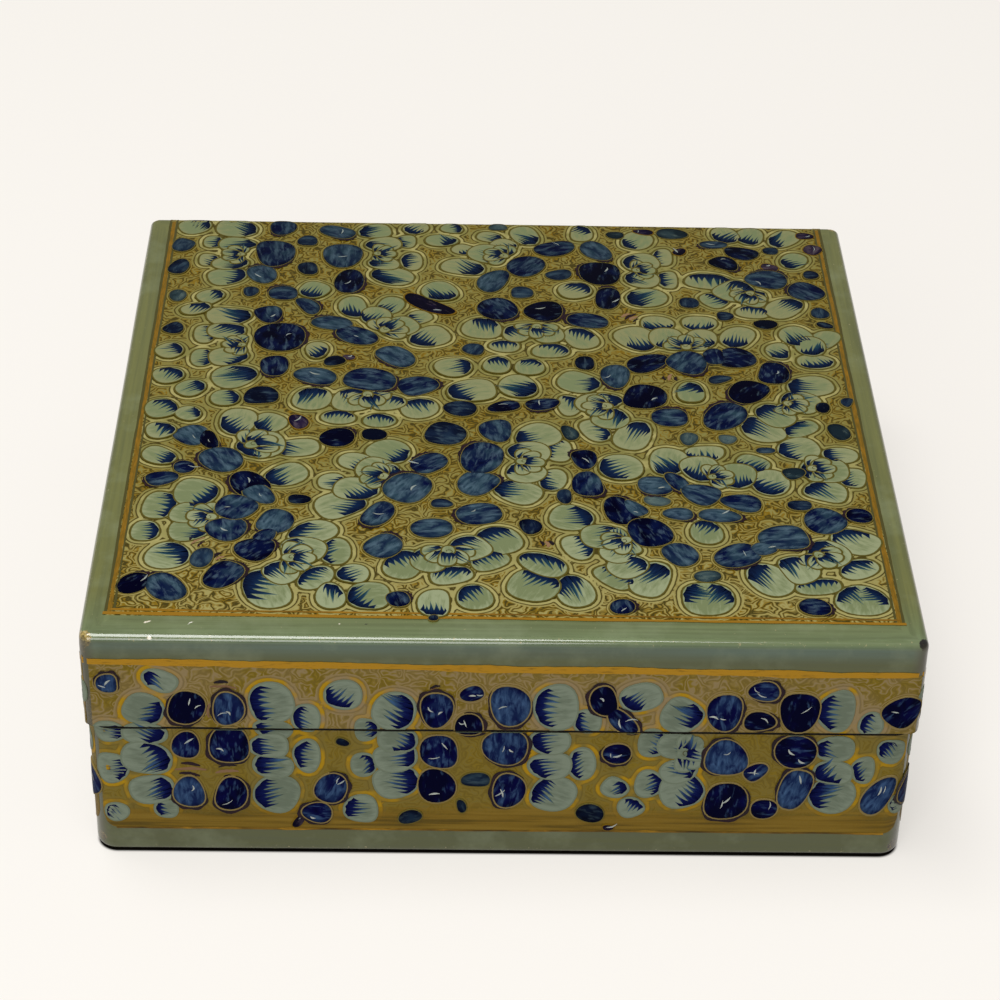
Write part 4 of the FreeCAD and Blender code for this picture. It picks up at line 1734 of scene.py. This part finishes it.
@dataclass(frozen=True)
class PlainStuff:
    """A stuff that is one colour with a grain: pulp, lacquered paper or plain paper."""

    name: str
    colour: str
    fleck: str
    grain: float  # per mm
    roughness: float
    coat: float = 0.0
    relief: float = 0.05

    def make(self) -> Material:
        """Make the material from fibres and flecks at their real size.

        Returns:
            The material.
        """
        sheet = Sheet(self.name)
        add = sheet.add
        fibres = add(
            "TexNoise",
            {"Vector": sheet.millimetres((1, 1, 1.6)), "Scale": self.grain, "Detail": 5.0,
             "Roughness": 0.65, "Distortion": 1.2},
        )
        share = add("MapRange", [fibres, 0.45, 0.75])
        colour = add("Mix", {0: share, 6: self.colour, 7: self.fleck})
        surface = Varnish(self.roughness, 0.3, self.coat, 0.15, self.relief)
        return surface.cover(sheet, colour, fibres)


class Palette:
    """Every finish of the box."""

    def __init__(self) -> None:
        """Mix the paints."""
        self.sage = SagePaint().make()
        self.top_ground = GroundPaint().make()
        self.wall_ground = GroundPaint(
            name="cream scrollwork on shell gold, rubbed and varnished",
            cream="#988460", far_cream="#988460", gold="#86701A", ring="#B48C0C", olive="#54430E",
            strength=0.36,
        ).make()
        plain = (
            ("moulded paper pulp, dry", "#8E7650", "#5E4A2C", 0.9, 0.9, 0.0, 0.2),
            ("black lacquered paper, brushed", "#0B0A09", "#1C1915", 0.35, 0.3, 0.5),
            # near black along the seam: the raw paper edge with painted shade of the gap and of the
            # lid's overhang
            ("raw paper edge, grimed", "#0A0806", "#1E180E", 0.8, 0.9, 0.0, 0.03),
            ("black sugar paper", "#12110F", "#24211C", 2.5, 0.85),
        )
        self.pulp, self.lacquer, self.grime, self.paper = (
            PlainStuff(*stuff).make() for stuff in plain
        )
        self.top_strokes = self._strokes(
            "", ("#929B78", "#727C56", "#544C12", 0.24, (0.3, 1.2), "#84845A"), (), (),
            "#906814", "#8E958C",
        )
        self.wall_strokes = self._strokes(
            " on the walls", ("#84907E", "#6E7A68", "#76826E", 0.24, (0.3, 1.2)),
            ("#000122", "#04063E", "#1C3058", "#50709A", "#8E7C4C", 0.2),
            ("#01022E", "#0E1850", "#426288"), "#B8881C", "#BCC2BC",
        )

    def _strokes(
        self, where: str, pale: tuple, blue: tuple, comb: tuple, gold: str, glint: str
    ) -> list[Material]:
        """Mix the paints of the brushwork in the order of Layer.

        Args:
            where: what tells these paints' names from the other set's.
            pale: what makes the pale petals' paint.
            blue: what makes the ovals' paint.
            comb: what makes the combs' paint.
            gold: the gold lines' colour.
            glint: the colour of the painted highlights.

        Returns:
            One material per layer.
        """
        madder = "#08041A", "#181030", "#382A3C", "#6E6068", "#7E6218"
        paints = (
            PetalPaint("pale sage distemper", *pale),
            BluePaint("indigo dragged with white", *blue),
            BluePaint("dark indigo leaf", "#02061A", "#0C1830", "#22364A", "#4A5E68"),
            BluePaint("grey teal leaf", "#16242C", "#2E4046", "#46585A", "#66746A"),
            BluePaint("dark madder leaf", *madder),
            CombPaint("indigo, dry brushed", *comb),
            # painted highlights: pale ticks that stand for the varnish's gloss on the ovals
            PetalPaint("pale painted highlight", glint, "#8E9A9C", glint, 0.0),
            PetalPaint("dark madder crescent", "#170A14", "#2A1018", "#1A0C12", 0.0),
            PetalPaint("olive ink line", "#4A4620", "#3A3818", "#4A4620", 0.0),
            PetalPaint("shell gold line, burnished", gold, "#6E5410", "#46320A", 0.16, (1.4, 2.6)),
            CombPaint("thin indigo, dry brushed", "#1E3448", "#3C5458", "#566A60"),
            PetalPaint("rose clay line", "#8A6A4C", "#6E4A38", "#8A6A4C", 0.0),
        )
        return [replace(paint, name=paint.name + where).make() for paint in paints]


TURN_NAMES = ("front", "right", "back", "left")


def rehung(bunch: Bunch, across: int, up: int, middle: float, seed: int) -> Bunch:
    """Repeat a bunch for a side that the photograph doesn't show, laid by hand again.

    Args:
        bunch: the strokes.
        across: -1 mirrors the bunch from left to right.
        up: -1 turns it upside down about the middle.
        middle: height of the middle of the wall.
        seed: seed of the hand's small differences.

    Returns:
        The new strokes.
    """
    draw = np.random.default_rng(seed)
    fresh = []
    for paint, x, y, long, wide, degrees in bunch:
        way = degrees if across > 0 else 180 - degrees
        way = way if up > 0 else -way
        x, y = x * across, middle + (y - middle) * up
        x, y = x + draw.uniform(-0.3, 0.3), y + draw.uniform(-0.25, 0.25)
        size = draw.uniform(0.95, 1.04)
        fresh.append((paint, x, y, long * size, wide * size, way + draw.uniform(-6, 6)))
    return tuple(fresh)


@dataclass(frozen=True)
class Sizes:
    """The painted surface's sizes, just inside the CAD's so that the relief stays within it."""

    sink: float = 0.42  # from the CAD's surface in to the painted one
    lid_half: float = 76.0
    lid_radius: float = 1.8  # the painted corners are a little sharper than the solid's
    lid_top: float = 51.0
    ridge: float = 1.8
    base_half: float = 75.6
    base_radius: float = 4.5
    foot: float = 1.0  # the painted foot is a little sharper than the solid's
    base_bottom: float = 0.52
    seam: float = 30.2
    wall_middle: float = 25.5

    @property
    def lid_plan(self) -> RoundedSquare:
        """Outline of the lid's painted walls."""
        return RoundedSquare(self.lid_half - self.sink, self.lid_radius)

    @property
    def base_plan(self) -> RoundedSquare:
        """Outline of the base's painted walls."""
        return RoundedSquare(self.base_half - self.sink, self.base_radius - self.sink)

    @property
    def lid_rows(self) -> tuple[Pair, ...]:
        """The lid's profile: the seam's edge, the wall, the ridge and the border.

        Returns:
            Inset and height of each row, from the seam up.
        """
        top = self.lid_top - self.sink
        wall = [31.0, 32.0, 33.5, 36.0, 38.5, 41.0, 43.5, 45.5, 47.0, 48.0, 48.8]
        arc = [math.radians(a) for a in range(0, 91, 11)] + [math.pi / 2]
        ridge = self.ridge - self.sink
        roll = [(ridge * (1 - math.cos(a)), top - ridge * (1 - math.sin(a))) for a in arc]
        return (
            (0.30, self.seam + 0.02), (0.08, self.seam + 0.05), (0.0, self.seam + 0.12),
            (0.0, self.seam + 0.22), *[(0.0, z) for z in wall], *roll,
            *[(ridge + step, top) for step in (0.6, 1.4, 2.2, 3.2, 4.4, 6.0)],
            (ridge + 8.0, top - 0.08),
        )

    @property
    def base_rows(self) -> tuple[Pair, ...]:
        """The base's profile: the seam's edge, the wall, the foot and underneath.

        Returns:
            Inset and height of each row, from the seam down.
        """
        bottom, foot = self.base_bottom, self.foot
        wall = [28.6, 27.6, 26.0, 23.5, 20.5, 17.5, 14.5, 11.5, 9.0, 7.0, 5.5, 4.2, 3.0, 2.2]
        arc = [math.radians(a) for a in range(0, 91, 15)]
        roll = [(foot * (1 - math.cos(a)), bottom + foot * (1 - math.sin(a))) for a in arc]
        return (
            (0.30, self.seam - 0.02), (0.08, self.seam - 0.05), (0.0, self.seam - 0.12),
            (0.0, self.seam - 0.7), *[(0.0, z) for z in wall], *roll, (4.0, bottom), (8.0, bottom),
        )


LID_CHIPS = [
    (-75.3, -75.2, 49.8, 2.2, 0.15, 0.52), (-75.4, -75.2, 47.6, 1.2, 0.1, 0.4),
    (-75.2, -75.2, 31.8, 3.0, 0.1, 0.34), (-75.4, -74.9, 35.2, 2.3, 0.08, 0.3),
    (-75.4, -74.9, 38.6, 1.8, 0.06, 0.3), (-75.5, -74.6, 41.6, 1.2, 0.04, 0.3),
    (75.0, -74.9, 50.3, 1.5, 0.12, 0.0), (75.3, -75.0, 47.5, 1.2, 0.08, 0.12),
    (75.3, -75.0, 44.5, 0.9, 0.06, 0.2), (75.2, -75.0, 31.0, 1.5, 0.08, 0.35),
    (-63.0, -75.3, 50.3, 0.5, 0.04, 0.9), (-64.0, -71.0, 50.6, 0.7, 0.0, 1.0),
    (-56.0, -71.5, 50.6, 0.7, 0.0, 1.0), (-30.0, -71.0, 50.6, 0.6, 0.0, 1.0),
    (-24.2, -70.9, 50.6, 0.8, 0.0, 0.0), (74.6, 75.0, 50.2, 1.6, 0.1, 0.5),
    (-74.8, 75.0, 50.2, 1.2, 0.1, 0.5),
]
BASE_CHIPS = [
    (-74.5, -74.5, 29.0, 1.5, 0.1, 0.45), (74.6, -74.4, 29.2, 1.4, 0.1, 0.2),
    (-74.3, -74.2, 22.0, 1.0, 0.05, 0.35), (-74.0, -74.2, 3.0, 1.2, 0.08, 0.4),
    (74.0, -74.2, 2.4, 1.6, 0.1, 0.3), (74.2, 74.2, 29.5, 1.2, 0.1, 0.5),
]


@dataclass(frozen=True)
class Line:
    """A line drawn with a hand's waver."""

    start: Pair  # across and up
    end: Pair
    width: float
    paint: Layer = Layer.GOLD
    lift: float = 0.03
    tone: float = 0.1  # its shade

    def draw(self, work: Brushwork) -> None:
        """Draw the line.

        Args:
            work: the brushwork that it joins.
        """
        start, end = np.array(self.start), np.array(self.end)
        draw = np.random.default_rng(int(abs(start[0] * 7 + end[1] * 13)))
        path = start + np.outer(np.linspace(0, 1, 121), end - start)
        waver = np.convolve(draw.normal(0, 0.23 * self.width**0.5, 133), np.ones(13) / 13, "valid")
        swell = np.convolve(draw.normal(0, 0.4, 127), np.ones(7) / 7, "valid")
        side = np.array([start[1] - end[1], end[0] - start[0]])
        path = path + np.outer(waver, side / np.hypot(*side))
        width = np.maximum(self.width * (1 + swell), 0.02)
        face = PetalShape((Paint.PALE, 0, 0, 1, 1, 0), 1)  # lays the path as it is
        work.lay_line(face, path, width, self.lift, self.paint, self.tone)


TOP_LINES = (
    Line((-71.3, -69.1), (-71.1, 74.8), 0.5, Layer.INK),
    Line((-69.9, -68.2), (-69.7, 74.8), 0.4, Layer.INK),
    Line((71.5, -69.6), (71.3, 74.8), 0.5, Layer.INK),
    Line((70.2, -69), (70.0, 74.8), 0.4, Layer.INK),
    Line((-70.6, -68.9), (-70.4, 74.8), 0.95, Layer.GOLD, 0.02, 1.0),
    Line((70.8, -69.3), (70.6, 74.8), 0.9, Layer.GOLD, 0.02, 1.0),
    Line((-71.8, -68.6), (72.0, -69.5), 0.75, Layer.GOLD, 0.06),
    Line((-70.5, -67.5), (71.0, -68.3), 0.5, Layer.GOLD, 0.05, 0.5),
)


@dataclass(frozen=True)
class PaintedBox:
    """The painted lid and base."""

    sizes: Sizes
    palette: Palette
    blanks: Blanks

    SLATE_FLOWERS = (1, 9, 12, 16, 17, 18, 20, 22, 24)  # white is worked into their blue
    SLATE = 0.62
    TOP_LEAVES = {26: "top_leaves_dark", 27: "top_leaves_pale"}  # the other bunches are flowers
    TOP_END = 74.9  # mm, where the brushwork is cut at the back of the top
    FLIPS = ((1, 1), (-1, -1), (-1, 1), (1, -1))  # how each wall repeats the front one
    BANDS = ((45.2, 43.6), (43.6, 44.4), (44.4, 44.0), (44.0, 45.2))  # each wall's gold line
    SHIFT = 200.0  # mm from one wall's scrolls to the next one's

    def build_skins(self) -> None:
        """Roll the painted skins of the lid and the base."""
        sizes = self.sizes
        lid = sizes.lid_plan, sizes.lid_rows, (sizes.seam, sizes.lid_top - 0.9), LID_CHIPS
        base = sizes.base_plan, sizes.base_rows, (sizes.seam, sizes.base_bottom + 1.0), BASE_CHIPS
        for body, shape in (("lid", lid), ("base", base)):
            skin = PaintedSkin(f"{body}_painted_skin", body, f"{body}_skin", *shape)
            skin.build(self.palette.sage, self.palette.grime)

    def build_top(self) -> None:
        """Paint the lid's top: scrolled ground, flowers, leaves and gold frame line."""
        sizes, paints = self.sizes, self.palette.top_strokes
        top, ridge = sizes.lid_top - sizes.sink, sizes.ridge - sizes.sink
        face = TopFace("lid", None, self.TOP_END, sizes.lid_plan, top, ridge)
        laid = [shapes_of(bunch, n) for n, bunch in enumerate(TOP_BUNCHES, 1)]
        ground = GroundPanel("lid_top_ground", face, -71.2, 71.4, -69.2, (75.1, 75.1))
        ground.build(laid, self.palette.top_ground)
        painter = FlowerPainter(self.blanks, paints, (0, 1))
        for n, shapes in enumerate(laid, 1):
            slate = self.SLATE if n in self.SLATE_FLOWERS else 0.0
            painter.paint(self.TOP_LEAVES.get(n, f"top_flower_{n:02d}"), shapes, face, slate)
        self._draw("lid_top_gold_line", face, paints, TOP_LINES)

    def build_walls(self) -> None:
        """Paint the four walls of the lid and the base."""
        sizes, paints = self.sizes, self.palette.wall_strokes
        painter = FlowerPainter(self.blanks, paints, (1, 2))
        low, high = sizes.seam - 0.66, sizes.seam + 0.16
        reach = sizes.lid_plan.side / 2
        for quarter, side in enumerate(TURN_NAMES):
            laid = []
            for n, bunch in enumerate(WALL_BUNCHES):
                if quarter:
                    bunch = rehung(bunch, *self.FLIPS[quarter], sizes.wall_middle, quarter * 10 + n)
                laid.append(shapes_of(bunch, 40 + quarter * 5 + n))
            lid = WallFace("lid", high, None, sizes.lid_plan, quarter)
            base = WallFace("base", None, low, sizes.base_plan, quarter)
            left, right = self.BANDS[quarter]
            for face, field_of_face in (
                (lid, (-74.0, 75.0, high, (left, right), 0.0)),
                (base, (-73.4, 74.2, 6.0, (low, low), 3.0)),
            ):
                name = f"{face.body}_{side}_ground"
                ground = GroundPanel(name, face, *field_of_face, offset=quarter * self.SHIFT)
                ground.build(laid, self.palette.wall_ground)
            for n, shapes in enumerate(laid, 1):
                for face in (lid, base):
                    painter.paint(f"{face.body}_{side}_flower_{n}", shapes, face)
            gold = Line((-reach, left), (reach, right), 1.35)
            thin = Line((-71.0, 6.0), (71.5, 6.0), 0.45, tone=0.9)
            self._draw(f"lid_{side}_gold_line", lid, paints, (gold,))
            self._draw(f"base_{side}_foot_line", base, paints, (thin,))

    def _draw(
        self, name: str, face: Face, paints: list[Material], lines: tuple[Line, ...]
    ) -> None:
        """Draw lines as one piece.

        Args:
            name: the piece's name.
            face: the face that they lie on.
            paints: the materials, in the order of Layer.
            lines: the lines, from the lowest to the topmost.
        """
        work = Brushwork(name, self.blanks, paints)
        for line in lines:
            line.draw(work)
        work.finish(face)


class Inside:
    """The unpainted solids that stay as they are and get their finishes."""

    STUFF = {
        "pulp": ("base_shell", "lid_shell"),
        "lacquer": ("base_lining", "lid_lining", *(f"collar_{side}" for side in TURN_NAMES)),
        "paper": ("underside_paper",),
    }

    def dress(self, nodes: dict[str, Object], palette: Palette) -> None:
        """Give each solid its finish.

        Args:
            nodes: the CAD solids by name.
            palette: the finishes.
        """
        for stuff, names in self.STUFF.items():
            for name in names:
                nodes[name].data.materials.clear()
                nodes[name].data.materials.append(getattr(palette, stuff))
                LOG.info("%s: finished as %s", name, getattr(palette, stuff).name)


@dataclass(frozen=True)
class Studio:
    """Pale floor, soft lamps and the camera at the photograph's place."""

    lens: float = 103.34
    eye: Triple = (-13.31, -478.70, 360.25)
    yaw: float = 1.652
    pitch: float = 34.705
    roll: float = -1.599
    floor: str = "#F6F1EA"

    def build(self) -> None:
        """Set the camera, the floor, the lamps and the world."""
        self._camera()
        self._floor()
        self._lamp("overhead_softbox", (-0.22, -0.12, 1.25), (0, 0, 0.03), (1.0, 0.45), 11.4)
        self._lamp("front_softbox", (-0.35, -1.3, 0.75), (0, 0, 0.03), (0.9, 0.7), 8.0, 0.0)
        world = bpy.data.worlds.new("studio")
        bpy.context.scene.world = world
        world.use_nodes = True
        world.node_tree.nodes["Background"].inputs["Color"].default_value = linear("#F4F2EE")
        world.node_tree.nodes["Background"].inputs["Strength"].default_value = 0.30
        bpy.context.scene.view_settings.view_transform = "Standard"

    def _camera(self) -> None:
        """Stand the camera where the photograph was taken."""
        yaw, pitch, roll = (math.radians(a) for a in (self.yaw, self.pitch, self.roll))
        ahead = Vector((math.sin(yaw), math.cos(yaw), -math.tan(pitch))).normalized()
        level = Vector((math.cos(yaw), -math.sin(yaw), 0))
        down = ahead.cross(level)
        right = math.cos(roll) * level + math.sin(roll) * down
        down = -math.sin(roll) * level + math.cos(roll) * down
        camera = bpy.data.objects.new("camera", bpy.data.cameras.new("camera"))
        bpy.context.scene.collection.objects.link(camera)
        camera.data.lens = self.lens
        camera.data.sensor_width = 36
        camera.data.clip_start = 0.01
        turn = Matrix((right, -down, -ahead)).transposed().to_4x4()
        camera.matrix_world = Matrix.Translation(Vector(self.eye) * MM) @ turn
        bpy.context.scene.camera = camera

    def _floor(self) -> None:
        """Lay a pale floor that keeps a faint shadow, with a painted contact shadow under the box.
        """
        clear_selection()
        bpy.ops.mesh.primitive_plane_add(size=8)
        floor = bpy.context.active_object
        floor.name = "studio_floor"
        sheet = Sheet("matt paper backdrop")
        add = sheet.add
        where = add("TexCoord")
        mist = add("TexNoise", {"Vector": where, "Scale": 2.0})
        tint = add("Mix", {0: mist, 6: self.floor, 7: "#FBF8F3"})
        glow = add("Emission", ["#FBF7F1"])
        path = add("LightPath")
        # Under the box's footprint the floor is painted near black, a painted contact shadow, and
        # has no glow.
        near = add("VectorMath", [where], operation="ABSOLUTE")
        near = add("VectorMath", [near, (0.071, 0.071, 1.0)], operation="SUBTRACT")
        near = add("VectorMath", [near], operation="MAXIMUM")
        near = add("VectorMath", [near], 1, operation="LENGTH")
        clear = add("MapRange", [near, 0.0038, 0.0044])
        tint = add("Mix", {0: clear, 6: "#1A1712", 7: tint})
        shown = add("Mix", {0: path, 6: "#9A968E", 7: tint})
        matt = add("BsdfDiffuse", [shown])
        glossy = path.node.outputs["Is Glossy Ray"]
        through = path.node.outputs["Is Transmission Ray"]
        seen = add("Math", [path, glossy], operation="MAXIMUM")
        seen = add("Math", [seen, through], operation="MAXIMUM")
        glowing = add("Math", [clear, 0.62], operation="MULTIPLY")
        seen = add("Math", [seen, glowing], operation="MULTIPLY")
        mixed = add("MixShader", [seen, matt, glow])
        add("OutputMaterial", [mixed])
        floor.data.materials.append(sheet.material)
        floor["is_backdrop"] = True

    def _lamp(
        self, name: str, place: Triple, aim: Triple,
        size: Pair, power: float, shine: float = 1.0,
    ) -> None:
        """Hang a softbox.

        Args:
            name: the lamp's name.
            place: where it hangs, in metres.
            aim: where it points, in metres.
            size: its width and height, in metres.
            power: its power in watts.
            shine: how far varnish mirrors it.
        """
        light = bpy.data.lights.new(name, "AREA")
        light.specular_factor = shine
        light.shape = "RECTANGLE"
        light.size, light.size_y = size
        light.energy = power
        lamp = bpy.data.objects.new(name, light)
        bpy.context.scene.collection.objects.link(lamp)
        way = Vector(aim) - Vector(place)
        lamp.rotation_euler = way.to_track_quat("-Z", "Y").to_euler()
        lamp.location = place


def corners(bounds: tuple[Vector, Vector]) -> list[list[float]]:
    """Plain lists of numbers from a pair of corners."""
    return [[float(v) for v in corner] for corner in bounds]


def main() -> None:
    """Build the studio, the finishes and the painted box around the CAD solids."""
    logging.basicConfig(level=logging.INFO, format="%(message)s")
    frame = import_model()
    solid = corners(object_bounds())
    Studio().build()
    palette = Palette()
    Inside().dress(frame["nodes"], palette)
    box = PaintedBox(Sizes(), palette, Blanks())
    box.build_skins()
    box.build_top()
    box.build_walls()
    {"cad": solid, "visual": corners(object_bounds())}


if __name__ == "__main__":
    main()
